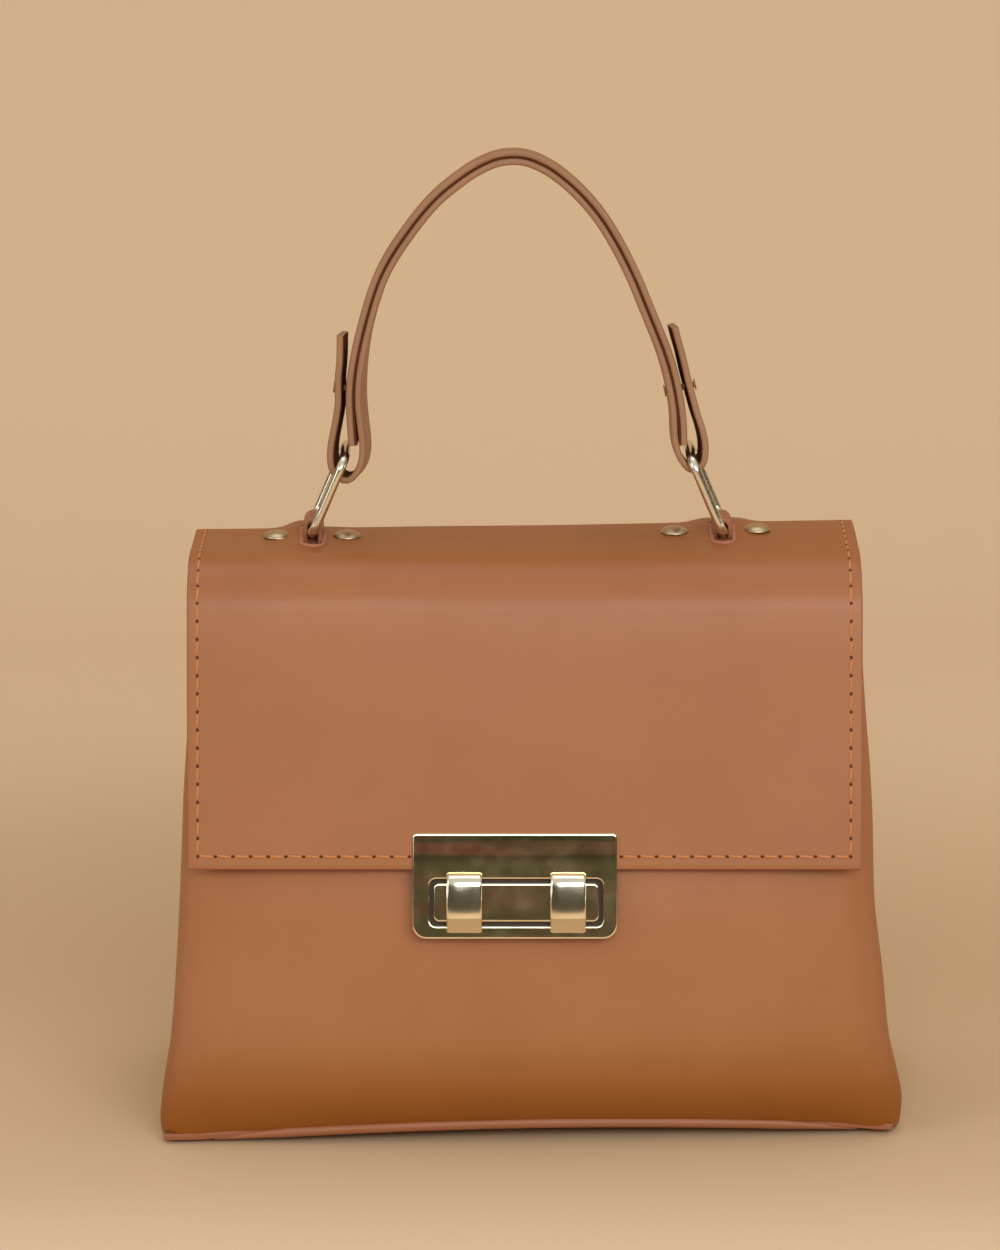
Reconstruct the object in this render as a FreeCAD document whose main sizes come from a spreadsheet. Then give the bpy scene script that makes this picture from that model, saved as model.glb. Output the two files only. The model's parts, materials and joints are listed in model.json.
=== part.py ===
import FreeCAD, Part
import math
import os
import Sketcher
from FreeCAD import Placement, Rotation, Vector

# Driving sizes, in millimetres and degrees

SIZES = (
    # leather body
    ("body_height", 162.0), ("foot_width", 222.0), ("belly_depth", 96.0),
    ("panel_leather", 2.0), ("panel_corner", 9.0), ("panel_crown", 3.0),
    ("gusset_leather", 1.6), ("gusset_inset", 0.8), ("gusset_tuck", 9.0), ("gusset_foot_tuck", 1.5),
    ("foam_thick", 2.6), ("lining_cloth", 0.6), ("lining_play", 0.3), ("lining_side_play", 1.6), ("lining_corner", 7.5),
    ("seam_gap", 0.2),
    ("piping_wire", 3.3), ("bottom_leather", 2.0), ("board_thick", 1.8),
    ("board_inset", 4.0), ("base_corner", 8.0),
    ("pocket_width", 118.0), ("pocket_height", 82.0), ("pocket_thick", 1.2), ("pocket_drop", 26.0), ("pocket_play", 0.6),
    # flap
    ("flap_width", 197.5), ("flap_top_height", 174.5), ("flap_depth", 58.85), ("flap_outer", 1.6),
    ("flap_lining", 1.0), ("front_fold", 14.0), ("back_fold", 10.0), ("front_tilt", 13.0),
    ("back_tilt", 12.6), ("back_draw_in", 2.38), ("flap_drop", 79.17), ("back_leaf", 26.56), ("lining_margin", 1.2),
    ("fold_split_gap", 0.1), ("stiffener_thick", 1.5), ("stiffener_margin", 6.0),
    # lock
    ("lock_side", 4.5), ("lock_brow", 17.1), ("lock_thick", 1.6), ("lock_below_fold", 83.766),
    ("lock_shift", 3.85),
    ("lock_top_corner", 1.0), ("lock_low_corner", 4.0), ("lock_bevel", 0.5),
    ("hardware_shift", 2.9), ("window_width", 51.0), ("window_height", 13.9), ("window_drop", 4.8),
    ("window_shift", 0.4), ("window_corner", 2.0), ("inlay_gap", 1.3), ("inlay_recess", 0.3),
    ("inlay_corner", 1.5), ("inlay_bevel", 0.4), ("tray_wall", 1.2), ("tray_depth", 1.4),
    ("tray_floor", 0.8), ("tray_play", 0.1), ("clamp_inset", 10.0), ("clamp_height", 7.0),
    ("clamp_thick", 0.8), ("clamp_rise", 10.0), ("prong_radius", 0.9), ("prong_bite", 0.9),
    ("prong_inset", 5.0), ("hole_play", 0.06), ("lock_gap", 0.05),
    # toggles
    ("toggle_width", 10.3), ("toggle_inset", 10.3), ("toggle_reach", 8.85), ("toggle_strap", 1.4),
    ("toggle_top_run", 2.5), ("toggle_low_run", 4.4), ("toggle_rise", 3.6), ("toggle_lip", 0.5),
    ("toggle_lift", 0.3), ("toggle_bevel", 0.5), ("toggle_bend", 0.9), ("hub_radius", 2.6),
    ("hub_lift", 0.1), ("shaft_radius", 1.5), ("tip_radius", 1.0), ("cam_length", 7.0),
    ("cam_width", 2.6), ("cam_thick", 1.4), ("cam_back", 5.6), ("clip_radius", 3.0),
    ("clip_thick", 0.45),
    # strike on the body
    ("strike_ends", 23.6), ("strike_height", 15.0), ("strike_thick", 0.8), ("strike_back", 3.75),
    ("strike_corner", 2.0), ("slot_side_play", 0.45), ("slot_low_play", 0.5), ("slot_top_play", 2.2),
    ("well_play", 0.9), ("backing_thick", 0.8), ("backing_back", 8.0), ("strike_rivet_radius", 1.1),
    ("strike_rivet_head", 2.0), ("strike_head_thick", 0.4), ("strike_rivet_inset", 2.8), ("strike_rivet_rise", 0.1),
    # ring tabs and rivets on the flap top
    ("hardware_back", 6.0), ("tab_spread", 122.3), ("tab_width", 12.0), ("tab_leather", 1.5),
    ("loop_top", 181.55), ("loop_side_play", 0.15), ("slot_play", 0.3), ("foot_past_rivet", 4.2),
    ("left_outer_reach", 10.8), ("left_inner_reach", 10.1), ("right_inner_reach", 14.2),
    ("right_outer_reach", 10.4), ("rivet_cap", 4.1), ("rivet_dome", 1.9), ("rivet_rim", 0.5),
    ("rivet_shank", 1.4), ("washer_radius", 3.4), ("washer_thick", 0.6),
    # rings and handle
    ("ring_wire", 2.6), ("ring_width", 24.0), ("ring_reach", 25.1), ("ring_corner", 4.2),
    ("ring_slack", 0.9), ("ring_seat_out", 2.51), ("ring_seat_share", 0.1822), ("handle_tilt", 7.0),
    ("handle_half_span", 48.8), ("handle_rise", 107.0), ("strap_width", 19.0), ("core_inset", 0.9),
    ("core_thick", 1.0), ("strap_leather", 1.7), ("strap_gap", 0.05), ("wrap_bulk", 10.0),
    ("wrap_rise_share", 0.50935), ("strap_rivet_share", 0.35514), ("strap_rivet_radius", 0.9),
    ("strap_rivet_head", 1.7), ("strap_head_thick", 0.4), ("strap_rivet_play", 0.05),
    ("strap_head_in", 0.2), ("strap_head_out", 0.3),
    # strap rings on the side gussets
    ("dring_wire", 2.4), ("dring_inner", 14.0), ("dring_reach", 11.0), ("dring_height", 153.0),
    ("dring_tab_width", 11.0), ("dring_tab_leather", 1.3), ("dring_tab_drop", 20.0),
    ("dring_fold_drop", 7.0), ("dring_tilt", 14.0), ("dring_play", 0.2), ("dring_stand", 1.3), ("dring_rivet", 2.6),
    ("dring_rivet_shank", 1.1), ("dring_rivet_drop", 14.0), ("dring_head_thick", 0.7),
    ("dring_rivet_tail", 1.65), ("dring_tail_thick", 0.35),
    # one overrun for every cut
    ("overrun", 5.0),
)

# Heights, half widths and half depths of the body, as shares of its height, width and depth

LEVEL_SHARES = (
    (0.028, 0.985, 0.896), (0.062, 1.000, 0.946), (0.172, 0.972, 0.990), (0.309, 0.953, 1.000),
    (0.452, 0.935, 0.954), (0.556, 0.928, 0.875), (0.772, 0.905, 0.708), (1.000, 0.880, 0.535),
)

# Middle line of the strap, as shares of its half span and rise, from the left foot to the right

ARCH_SHARES = (
    (-0.982, 0.204), (-0.992, 0.271), (-0.997, 0.339), (-0.985, 0.406), (-0.958, 0.473), (-0.923, 0.539),
    (-0.882, 0.604), (-0.831, 0.668), (-0.761, 0.728), (-0.678, 0.784), (-0.588, 0.838), (-0.488, 0.888),
    (-0.374, 0.931), (-0.250, 0.969), (-0.113, 0.995), (0.033, 0.997), (0.171, 0.973), (0.292, 0.934),
    (0.401, 0.887), (0.496, 0.835), (0.577, 0.778), (0.648, 0.719), (0.712, 0.658), (0.769, 0.595),
    (0.826, 0.532), (0.881, 0.469), (0.925, 0.405), (0.957, 0.339), (0.977, 0.272), (0.983, 0.204),
)

# Wrapped ends of the inner strap round the rings, tip first: outwards from the half span as shares
# of the wrap's bulk, and upwards as shares of its rise

WRAP_LEFT_SHARES = (
    (0.381, 1.000), (0.386, 0.927), (0.403, 0.850), (0.441, 0.771), (0.447, 0.697), (0.452, 0.628),
    (0.502, 0.558), (0.579, 0.486), (0.657, 0.413), (0.690, 0.339), (0.634, 0.273), (0.452, 0.226),
    (0.204, 0.211), (-0.028, 0.237), (-0.194, 0.288), (-0.271, 0.352), (-0.265, 0.418),
    (-0.227, 0.483), (-0.182, 0.549),
)
WRAP_RIGHT_SHARES = (
    (-0.238, 1.042), (-0.149, 0.980), (-0.039, 0.910), (0.055, 0.840), (0.143, 0.771),
    (0.243, 0.701), (0.347, 0.631), (0.458, 0.561), (0.579, 0.494), (0.662, 0.426), (0.679, 0.360),
    (0.612, 0.303), (0.430, 0.271), (0.209, 0.273), (0.022, 0.308), (-0.122, 0.356),
    (-0.205, 0.409), (-0.243, 0.464), (-0.254, 0.521), (-0.271, 0.572),
)

doc = FreeCAD.newDocument("crossbody_bag")
sheet = doc.addObject("Spreadsheet::Sheet", "Sizes")


def write_sizes(rows, first_row):
    for row, (alias, number) in enumerate(rows, start=first_row):
        sheet.set("A%d" % row, alias)
        sheet.set("B%d" % row, str(number))
        sheet.setAlias("B%d" % row, alias)
    doc.recompute()


def size(alias):
    """Value of one cell of the sheet."""
    return float(sheet.get(alias))


write_sizes(SIZES, 1)

# Sizes that follow from the sizes above

LOCK_WIDTH = size("window_width") + 2 * size("lock_side")
CLAMP_WIDTH = LOCK_WIDTH - size("clamp_inset")
TOGGLE_SPREAD = size("window_width") - 2 * size("toggle_inset")
STRIKE_WIDTH = TOGGLE_SPREAD + size("strike_ends")
FOLLOWING_SIZES = (
    ("lock_width", LOCK_WIDTH), ("lock_height", size("window_height") + size("lock_brow")),
    ("clamp_width", CLAMP_WIDTH), ("prong_spread", CLAMP_WIDTH / 2 - size("prong_inset")),
    ("toggle_spread", TOGGLE_SPREAD), ("strike_width", STRIKE_WIDTH),
    ("strike_rivet_spread", STRIKE_WIDTH / 2 - size("strike_rivet_inset")),
    ("ring_seat", size("handle_rise") * size("ring_seat_share")),
    ("wrap_rise", size("handle_rise") * size("wrap_rise_share")),
    ("strap_rivet_height", size("handle_rise") * size("strap_rivet_share")),
)
write_sizes(FOLLOWING_SIZES, len(SIZES) + 1)


def cell(formula):
    """Formula over the sheet's aliases, written for a bound property."""
    words = formula.replace("(", " ( ").replace(")", " ) ").split()
    return " ".join("Sizes." + word if word in ALIASES else word for word in words)


ALIASES = {alias for alias, number in SIZES + FOLLOWING_SIZES}
ORIGIN_PLACE = Placement()
pieces = []


def keep(piece, label, place=ORIGIN_PLACE):
    """Names one sub-part, places it and lists it for the files."""
    piece.Label = label
    piece.Placement = place
    pieces.append(piece)
    return piece


def solid_piece(label, shape, place=ORIGIN_PLACE):
    """Sub-part from a shape worked out in this file."""
    piece = doc.addObject("Part::Feature", label)
    piece.Shape = shape
    return keep(piece, label, place * shape.Placement)


# Sketch and feature helpers

def new_sketch(body, name, role, lift="0"):
    sketch = body.newObject("Sketcher::SketchObject", name)
    plane = next(item for item in body.Origin.OriginFeatures if item.Role == role)
    sketch.AttachmentSupport = (plane, [""])
    sketch.MapMode = "FlatFace"
    sketch.setExpression(".AttachmentOffset.Base.z", cell(lift))
    return sketch


def bind_point(sketch, index, across, upward):
    for kind, formula in (("DistanceX", across), ("DistanceY", upward)):
        number = sketch.addConstraint(Sketcher.Constraint(kind, -1, 1, index, 1, 1.0))
        sketch.setExpression("Constraints[%d]" % number, cell(formula))


def polygon(body, name, role, corners, lift="0"):
    """Closed outline through corners, each a pair of formulas."""
    sketch = new_sketch(body, name, role, lift)
    count = len(corners)
    turn = 2 * math.pi / count
    rough = [Vector(math.cos(turn * k), math.sin(turn * k), 0) for k in range(count)]
    for k in range(count):
        sketch.addGeometry(Part.LineSegment(rough[k], rough[(k + 1) % count]))
    for k in range(count):
        sketch.addConstraint(Sketcher.Constraint("Coincident", k, 2, (k + 1) % count, 1))
    for k, (across, upward) in enumerate(corners):
        bind_point(sketch, k, across, upward)
    return sketch


def rectangle(body, name, role, low_x, high_x, low_y, high_y, lift="0"):
    corners = ((low_x, low_y), (high_x, low_y), (high_x, high_y), (low_x, high_y))
    return polygon(body, name, role, corners, lift)


def circles(body, name, role, spots, radius, lift="0"):
    """Circles of one radius, centred on spots; a spot of None is the sketch's own origin."""
    sketch = new_sketch(body, name, role, lift)
    for k, spot in enumerate(spots):
        start = Vector(0, 0, 0) if spot is None else Vector(1 + k, 1, 0)
        sketch.addGeometry(Part.Circle(start, Vector(0, 0, 1), 1))
        number = sketch.addConstraint(Sketcher.Constraint("Radius", k, 1.0))
        sketch.setExpression("Constraints[%d]" % number, cell(radius))
        if spot is None:
            sketch.addConstraint(Sketcher.Constraint("Coincident", k, 3, -1, 1))
            continue
        for kind, formula in (("DistanceX", spot[0]), ("DistanceY", spot[1])):
            number = sketch.addConstraint(Sketcher.Constraint(kind, -1, 1, k, 3, 1.0))
            sketch.setExpression("Constraints[%d]" % number, cell(formula))
    return sketch


def pad(body, name, sketch, length, reverse=False, middle=False):
    feature = body.newObject("PartDesign::Pad", name)
    feature.Profile = sketch
    feature.setExpression("Length", cell(length))
    feature.Reversed = reverse
    feature.Midplane = middle
    return feature


def pocket(body, name, sketch, length, reverse=False):
    """Pocket that must take material away."""
    doc.recompute()
    before = body.Shape.Volume
    feature = body.newObject("PartDesign::Pocket", name)
    feature.Profile = sketch
    feature.setExpression("Length", cell(length))
    feature.Reversed = reverse
    doc.recompute()
    if body.Shape.Volume >= before:
        raise RuntimeError(name + " cuts nothing")
    return feature


def chosen_edges(feature, test):
    doc.recompute()
    return ["Edge%d" % (k + 1) for k, edge in enumerate(feature.Shape.Edges) if test(edge)]


def dress(body, kind, name, base, test, amount):
    """Fillet or Chamfer on the edges of base that pass the test."""
    edges = chosen_edges(base, test)
    if not edges:
        raise RuntimeError(name + " finds no edge")
    feature = body.newObject("PartDesign::" + kind, name)
    feature.Base = (base, edges)
    feature.setExpression("Radius" if kind == "Fillet" else "Size", cell(amount))
    return feature


def new_body(label):
    return doc.addObject("PartDesign::Body", label)


def along(edge, axis):
    """True for a straight edge that runs along an axis."""
    if edge.Curve.TypeId != "Part::GeomLine":
        return False
    return abs(abs(edge.Curve.Direction.dot(axis)) - 1) < 1e-6


X_AXIS = Vector(1, 0, 0)
Y_AXIS = Vector(0, 1, 0)
Z_AXIS = Vector(0, 0, 1)

# Curved-sheet helpers

def arc(first, middle, last):
    return Part.Arc(first, middle, last).toShape()


def line(first, last):
    return Part.LineSegment(first, last).toShape()


def level(share_row):
    height_share, width_share, depth_share = share_row
    return (height_share * size("body_height"), width_share * size("foot_width") / 2,
            depth_share * size("belly_depth") / 2)


def panel_edges(half_width, half_depth, height, inset):
    """Arcs of one front panel outline at one height, drawn inset from the outside."""
    crown = size("panel_crown")
    corner = size("panel_corner") - inset
    side = half_width - inset
    face = half_depth - crown - inset
    diagonal = corner * (1 - math.sqrt(0.5))
    left = arc(Vector(-side, corner - face, height), Vector(diagonal - side, diagonal - face, height),
               Vector(corner - side, -face, height))
    front = arc(Vector(corner - side, -face, height), Vector(0, -face - crown, height),
                Vector(side - corner, -face, height))
    right = arc(Vector(side - corner, -face, height), Vector(side - diagonal, diagonal - face, height),
                Vector(side, corner - face, height))
    return [left, front, right]


def sheet_wire(outside, inside):
    """Closed outline of a sheet from its outside and inside runs, which go the same way."""
    close_far = line(outside[-1].Vertexes[-1].Point, inside[-1].Vertexes[-1].Point)
    close_near = line(inside[0].Vertexes[0].Point, outside[0].Vertexes[0].Point)
    backwards = [edge.reversed() for edge in reversed(inside)]
    return Part.Wire(Part.__sortEdges__(outside + [close_far] + backwards + [close_near]))


def panel_loft(outer_inset, inner_inset):
    """Front panel sheet between two insets, lofted through the levels."""
    wires = []
    for row in LEVEL_SHARES:
        height, half_width, half_depth = level(row)
        outside = panel_edges(half_width, half_depth, height, outer_inset)
        inside = panel_edges(half_width, half_depth, height, inner_inset)
        wires.append(sheet_wire(outside, inside))
    return Part.makeLoft(wires, True, True)


def gusset_loft():
    """Right side gusset, tucked in more towards the mouth."""
    wires = []
    for row in LEVEL_SHARES:
        height, half_width, half_depth = level(row)
        edge_y = half_depth - size("panel_crown") - size("panel_corner") - size("seam_gap")
        tuck_rise = (size("gusset_tuck") - size("gusset_foot_tuck")) * row[0]
        tuck = size("gusset_foot_tuck") + tuck_rise
        side = half_width - size("gusset_inset")
        inner = side - size("gusset_leather")
        outside = [arc(Vector(side, -edge_y, height), Vector(side - tuck, 0, height),
                       Vector(side, edge_y, height))]
        inside = [arc(Vector(inner, -edge_y, height), Vector(inner - tuck, 0, height),
                      Vector(inner, edge_y, height))]
        wires.append(sheet_wire(outside, inside))
    return Part.makeLoft(wires, True, True)


def turned(shape, angle=180):
    copy = shape.copy()
    copy.rotate(Vector(0, 0, 0), Z_AXIS, angle)
    return copy


# Frames of the lock, the tilted handle and the flap folds

TILT = math.radians(size("front_tilt"))
BACK_TILT = math.radians(size("back_tilt"))
HALF_FLAP = size("flap_depth") / 2
FRONT_CENTRE = Vector(0, size("front_fold") - HALF_FLAP, size("flap_top_height") - size("front_fold"))
BACK_REACH = HALF_FLAP - size("back_draw_in") - size("back_fold")
BACK_CENTRE = Vector(0, BACK_REACH, size("flap_top_height") - size("back_fold"))


def fold_point(centre, radius, angle, side):
    """Point on a fold, by its angle in radians from straight up; side is -1 in front, +1 behind."""
    return Vector(0, centre.y + side * radius * math.sin(angle), centre.z + radius * math.cos(angle))


FRONT_TURN = math.pi / 2 - TILT
BACK_TURN = math.pi / 2 - BACK_TILT
FRONT_END = fold_point(FRONT_CENTRE, size("front_fold"), FRONT_TURN, -1)
FRONT_AXIS = fold_point(FRONT_CENTRE, size("front_fold"), FRONT_TURN / 2, -1)
BACK_AXIS = fold_point(BACK_CENTRE, size("back_fold"), BACK_TURN / 2, 1)
FRONT_DOWN = Vector(0, -math.sin(TILT), -math.cos(TILT))

LOCK_SPOT = FRONT_END + FRONT_DOWN * size("lock_below_fold") - X_AXIS * size("lock_shift")
LOCK_TURN = Rotation(X_AXIS, 90 - size("front_tilt"))
LOCK = Placement(LOCK_SPOT, LOCK_TURN)

PIVOT_HEIGHT = (size("loop_top") - size("tab_leather") - size("ring_wire") / 2
                - size("loop_side_play") - size("ring_slack"))
RINGS = Placement(Vector(-size("hardware_shift"), size("hardware_back"), PIVOT_HEIGHT), Rotation())
RING_TILT = math.asin((size("tab_spread") / 2 - size("handle_half_span") - size("ring_seat_out"))
                      / size("ring_reach"))
RING_TOP = Vector(-size("hardware_shift"), size("hardware_back"),
                  PIVOT_HEIGHT + size("ring_reach") * math.cos(RING_TILT))
HANDLE_TURN = Rotation(X_AXIS, -size("handle_tilt"))
HANDLE = Placement(RING_TOP - HANDLE_TURN.multVec(Z_AXIS) * size("ring_seat"), HANDLE_TURN)


def in_frame(frame, x=0, y=0, z=0, turn=None):
    return frame * Placement(Vector(x, y, z), turn or Rotation())


# Leather body, foam, lining and base

def make_body_shell():
    panel = panel_loft(0, size("panel_leather"))
    play = size("lining_play")
    foam_start = size("panel_leather") + play
    foam = panel_loft(foam_start, foam_start + size("foam_thick"))
    well = strike_well()
    solid_piece("front_panel", panel.cut(well))
    solid_piece("back_panel", turned(panel))
    solid_piece("front_foam", foam.cut(foam_well()))
    solid_piece("back_foam", turned(foam))
    gusset = gusset_loft()
    for name, side in (("left", -1), ("right", 1)):
        shape = gusset if side > 0 else turned(gusset)
        solid_piece("side_gusset_" + name, shape.cut(dring_rivet_hole(side)))


def strike_well():
    """Opening in the front panel behind the strike plate, where the cams turn."""
    reach = size("cam_length") / 2 + size("well_play")
    low = -reach
    high = size("cam_length") / 2 + size("slot_top_play") + size("well_play")
    depth = size("overrun") * 2
    cutters = []
    for side in (-1, 1):
        box = Part.makeBox(2 * reach, high - low, depth, Vector(-reach, low, -depth))
        box.Placement = toggle_place(side) * box.Placement
        cutters.append(box)
    play = size("slot_play")
    width = size("strike_width") + 2 * play
    tall = size("strike_height") + 2 * play
    recess = Part.makeBox(width, tall, size("overrun"),
                          Vector(-width / 2, -tall / 2, -size("strike_back") - size("seam_gap")))
    recess.Placement = strike_place() * recess.Placement
    cutters.append(recess)
    cutters += strike_rivet_rods(size("strike_rivet_radius") + size("hole_play"))
    return cutters[0].multiFuse(cutters[1:])


def foam_well():
    """Clearance in the foam for the backing plate and its rivets."""
    play = size("well_play")
    width = size("strike_width") + 2 * play
    tall = size("strike_height") + 2 * play
    depth = size("backing_back") + size("overrun")
    box = Part.makeBox(width, tall, depth, Vector(-width / 2, -tall / 2, -depth))
    box.Placement = in_frame(strike_place()) * box.Placement
    return box


def lining_wire(height, half_width, half_depth, share, gusset_edge):
    """Lining outline at one height, waisted at the sides as the gussets are."""
    tuck = size("gusset_foot_tuck") + (size("gusset_tuck") - size("gusset_foot_tuck")) * share
    cut = size("lining_corner")
    low_y = cut - half_depth
    low_x = half_width - cut
    side_x = half_width - tuck * (1 - (low_y / gusset_edge) ** 2)
    corners = (Vector(-low_x, -half_depth, height), Vector(low_x, -half_depth, height),
               Vector(side_x, low_y, height), Vector(side_x, -low_y, height),
               Vector(low_x, half_depth, height), Vector(-low_x, half_depth, height),
               Vector(-side_x, -low_y, height), Vector(-side_x, low_y, height))
    edges = [line(corners[0], corners[1]),
             line(corners[1], corners[2]),
             arc(corners[2], Vector(half_width - tuck, 0, height), corners[3]),
             line(corners[3], corners[4]),
             line(corners[4], corners[5]),
             line(corners[5], corners[6]),
             arc(corners[6], Vector(tuck - half_width, 0, height), corners[7]),
             line(corners[7], corners[0])]
    return Part.Wire(edges)


def floor_row(share):
    """Row of shares at the lining's floor, between the two lowest levels."""
    low, high = LEVEL_SHARES[0], LEVEL_SHARES[1]
    part = (share - low[0]) / (high[0] - low[0])
    return (share, low[1] + (high[1] - low[1]) * part, low[2] + (high[2] - low[2]) * part)


def lining_face():
    """How far the lining's front and back lie inside the body's outside."""
    return size("panel_leather") + size("foam_thick") + size("panel_crown") + 2 * size("lining_play")


def make_lining():
    side = size("gusset_inset") + size("gusset_leather") + size("lining_side_play")
    face = lining_face()
    cloth = size("lining_cloth")
    outer_wires = []
    inner_wires = []
    floor_share = (base_top() + size("lining_play")) / size("body_height")
    for row in [floor_row(floor_share)] + list(LEVEL_SHARES[1:]):
        height, half_width, half_depth = level(row)
        lift = cloth if row[0] == floor_share else 0
        edge = half_depth - size("panel_crown") - size("panel_corner") - size("seam_gap")
        outer_wires.append(lining_wire(height, half_width - side, half_depth - face, row[0], edge))
        inner_wires.append(lining_wire(height + lift, half_width - side - cloth,
                                       half_depth - face - cloth, row[0], edge))
    outer = Part.makeLoft(outer_wires, True, True)
    inner = Part.makeLoft(inner_wires, True, True)
    solid_piece("lining", outer.cut(inner))


def base_top():
    return size("bottom_leather") + size("board_thick") + 2 * size("seam_gap")


def make_base():
    height, half_width, half_depth = level(LEVEL_SHARES[0])
    inset = size("piping_wire") + size("seam_gap")
    for label, lift, thick, extra in (
            ("bottom_panel", "0", "bottom_leather", "0"),
            ("base_board", "bottom_leather + seam_gap", "board_thick", "board_inset")):
        body = new_body(label)
        share_x = LEVEL_SHARES[0][1]
        share_y = LEVEL_SHARES[0][2]
        half_x = "( foot_width * %g / 2 - piping_wire - seam_gap - %s )" % (share_x, extra)
        half_y = "( belly_depth * %g / 2 - panel_crown - piping_wire - seam_gap - %s )" % (share_y, extra)
        sketch = rectangle(body, label + "_outline", "XY_Plane", "-1 * " + half_x, half_x,
                           "-1 * " + half_y, half_y, lift)
        plate = pad(body, label + "_plate", sketch, thick)
        dress(body, "Fillet", label + "_corners", plate, lambda edge: along(edge, Z_AXIS), "base_corner")
        keep(body, label)
    make_piping(half_width, half_depth)


def make_piping(half_width, half_depth):
    """Cord in the seam along the front and back lower edges, round both corners."""
    radius = size("piping_wire") / 2
    side = half_width - radius
    face = half_depth - size("panel_crown") - radius
    corner = size("panel_corner") - radius
    diagonal = corner * (1 - math.sqrt(0.5))
    start = Vector(-side, corner - face, radius)
    path = Part.Wire([
        arc(start, Vector(diagonal - side, diagonal - face, radius), Vector(corner - side, -face, radius)),
        line(Vector(corner - side, -face, radius), Vector(side - corner, -face, radius)),
        arc(Vector(side - corner, -face, radius), Vector(side - diagonal, diagonal - face, radius),
            Vector(side, corner - face, radius))])
    profile = Part.Wire(Part.makeCircle(radius, start, Y_AXIS))
    cord = path.makePipeShell([profile], True, False)
    solid_piece("bottom_piping_front", cord)
    solid_piece("bottom_piping_back", turned(cord))


def make_inner_pocket():
    body = new_body("inner_pocket")
    half = "( pocket_width / 2 )"
    sketch = rectangle(body, "pocket_outline", "XY_Plane", "-1 * " + half, half,
                       "-1 * pocket_height", "-1 * seam_gap")
    sheet_pad = pad(body, "pocket_sheet", sketch, "pocket_thick")
    doc.recompute()
    inside = lining_face() + size("lining_cloth") + size("pocket_play")
    high, unused_width, high_depth = level(LEVEL_SHARES[7])
    low, unused_width, low_depth = level(LEVEL_SHARES[6])
    drop = size("pocket_drop")
    start_depth = high_depth + (low_depth - high_depth) * drop / (high - low)
    belly_height, unused_width, belly_depth = level(LEVEL_SHARES[3])
    lean = math.atan2(belly_depth - start_depth, high - drop - belly_height)
    top = Vector(0, start_depth - inside, high - drop)
    place = Placement(top, Rotation(X_AXIS, 90 + math.degrees(lean)))
    keep(body, "inner_pocket", place)
    return sheet_pad


# Flap: three stretches of one leather sheet that meet at the folds

def fold_sheet(centre, radius, thick, side, first, last, tail, trim):
    """Section of a sheet round part of a fold, with a straight tail past its last or before its first."""
    inner = radius - thick
    outside = [arc(fold_point(centre, radius, first, side),
                   fold_point(centre, radius, (first + last) / 2, side),
                   fold_point(centre, radius, last, side))]
    inside = [arc(fold_point(centre, inner, first, side),
                  fold_point(centre, inner, (first + last) / 2, side),
                  fold_point(centre, inner, last, side))]
    if tail:
        direction = Vector(0, side * math.cos(last), -math.sin(last))
        for run in (outside, inside):
            start = run[-1].Vertexes[-1].Point
            run.append(line(start, start + direction * (tail - trim)))
    return outside, inside


def extrude_sheet(outside, inside, width):
    face = Part.Face(sheet_wire(outside, inside))
    solid = face.extrude(X_AXIS * width)
    solid.translate(X_AXIS * (-width / 2))
    return solid


def flap_sheets(inset, thick, trim):
    """Back leaf, top and front of one layer that lies inset from the flap's outside."""
    gap_front = size("fold_split_gap") / size("front_fold")
    gap_back = size("fold_split_gap") / size("back_fold")
    width = size("flap_width") - 2 * trim
    front_radius = size("front_fold") - inset
    back_radius = size("back_fold") - inset
    back = fold_sheet(BACK_CENTRE, back_radius, thick, 1, BACK_TURN / 2 + gap_back, BACK_TURN,
                      size("back_leaf"), trim)
    front = fold_sheet(FRONT_CENTRE, front_radius, thick, -1, FRONT_TURN / 2 + gap_front, FRONT_TURN,
                       size("flap_drop"), trim)
    top_front = fold_sheet(FRONT_CENTRE, front_radius, thick, -1, FRONT_TURN / 2 - gap_front, 0, 0, 0)
    top_back = fold_sheet(BACK_CENTRE, back_radius, thick, 1, 0, BACK_TURN / 2 - gap_back, 0, 0)
    runs = []
    for near, far in zip(top_front, top_back):
        bridge = line(near[-1].Vertexes[-1].Point, far[0].Vertexes[0].Point)
        runs.append(near + [bridge] + far)
    return (extrude_sheet(*back, width), extrude_sheet(*runs, width), extrude_sheet(*front, width))


def make_flap():
    outer = size("flap_outer")
    back, top, front = flap_sheets(0, outer, 0)
    inner_front = flap_sheets(outer, size("flap_lining"), size("lining_margin"))[2]
    solid_piece("flap_back_leaf", back)
    solid_piece("flap_top", top.cut(fuse_all(loop_slots() + rivet_rods())))
    solid_piece("flap_front", front.cut(fuse_all(prong_rods(size("hole_play")))))
    lowered = size("stiffener_thick")
    solid_piece("flap_front_lining", inner_front.cut(fuse_all(prong_rods(size("hole_play")))))
    board = stiffener_board(lowered)
    solid_piece("flap_stiffener", board.cut(fuse_all(foot_recesses())))
    solid_piece("flap_top_lining", top_lining(lowered).cut(fuse_all(rivet_rods())))


def flat_span():
    """Front and back limits of the flat top between the folds."""
    return FRONT_CENTRE.y, BACK_CENTRE.y


def plate_box(half_x, low_y, high_y, low_z, thick):
    return Part.makeBox(2 * half_x, high_y - low_y, thick, Vector(-half_x, low_y, low_z))


def stiffener_board(thick):
    low_y, high_y = flat_span()
    half_x = size("flap_width") / 2 - size("stiffener_margin")
    low_z = size("flap_top_height") - size("flap_outer") - thick
    return plate_box(half_x, low_y, high_y, low_z, thick)


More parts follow.
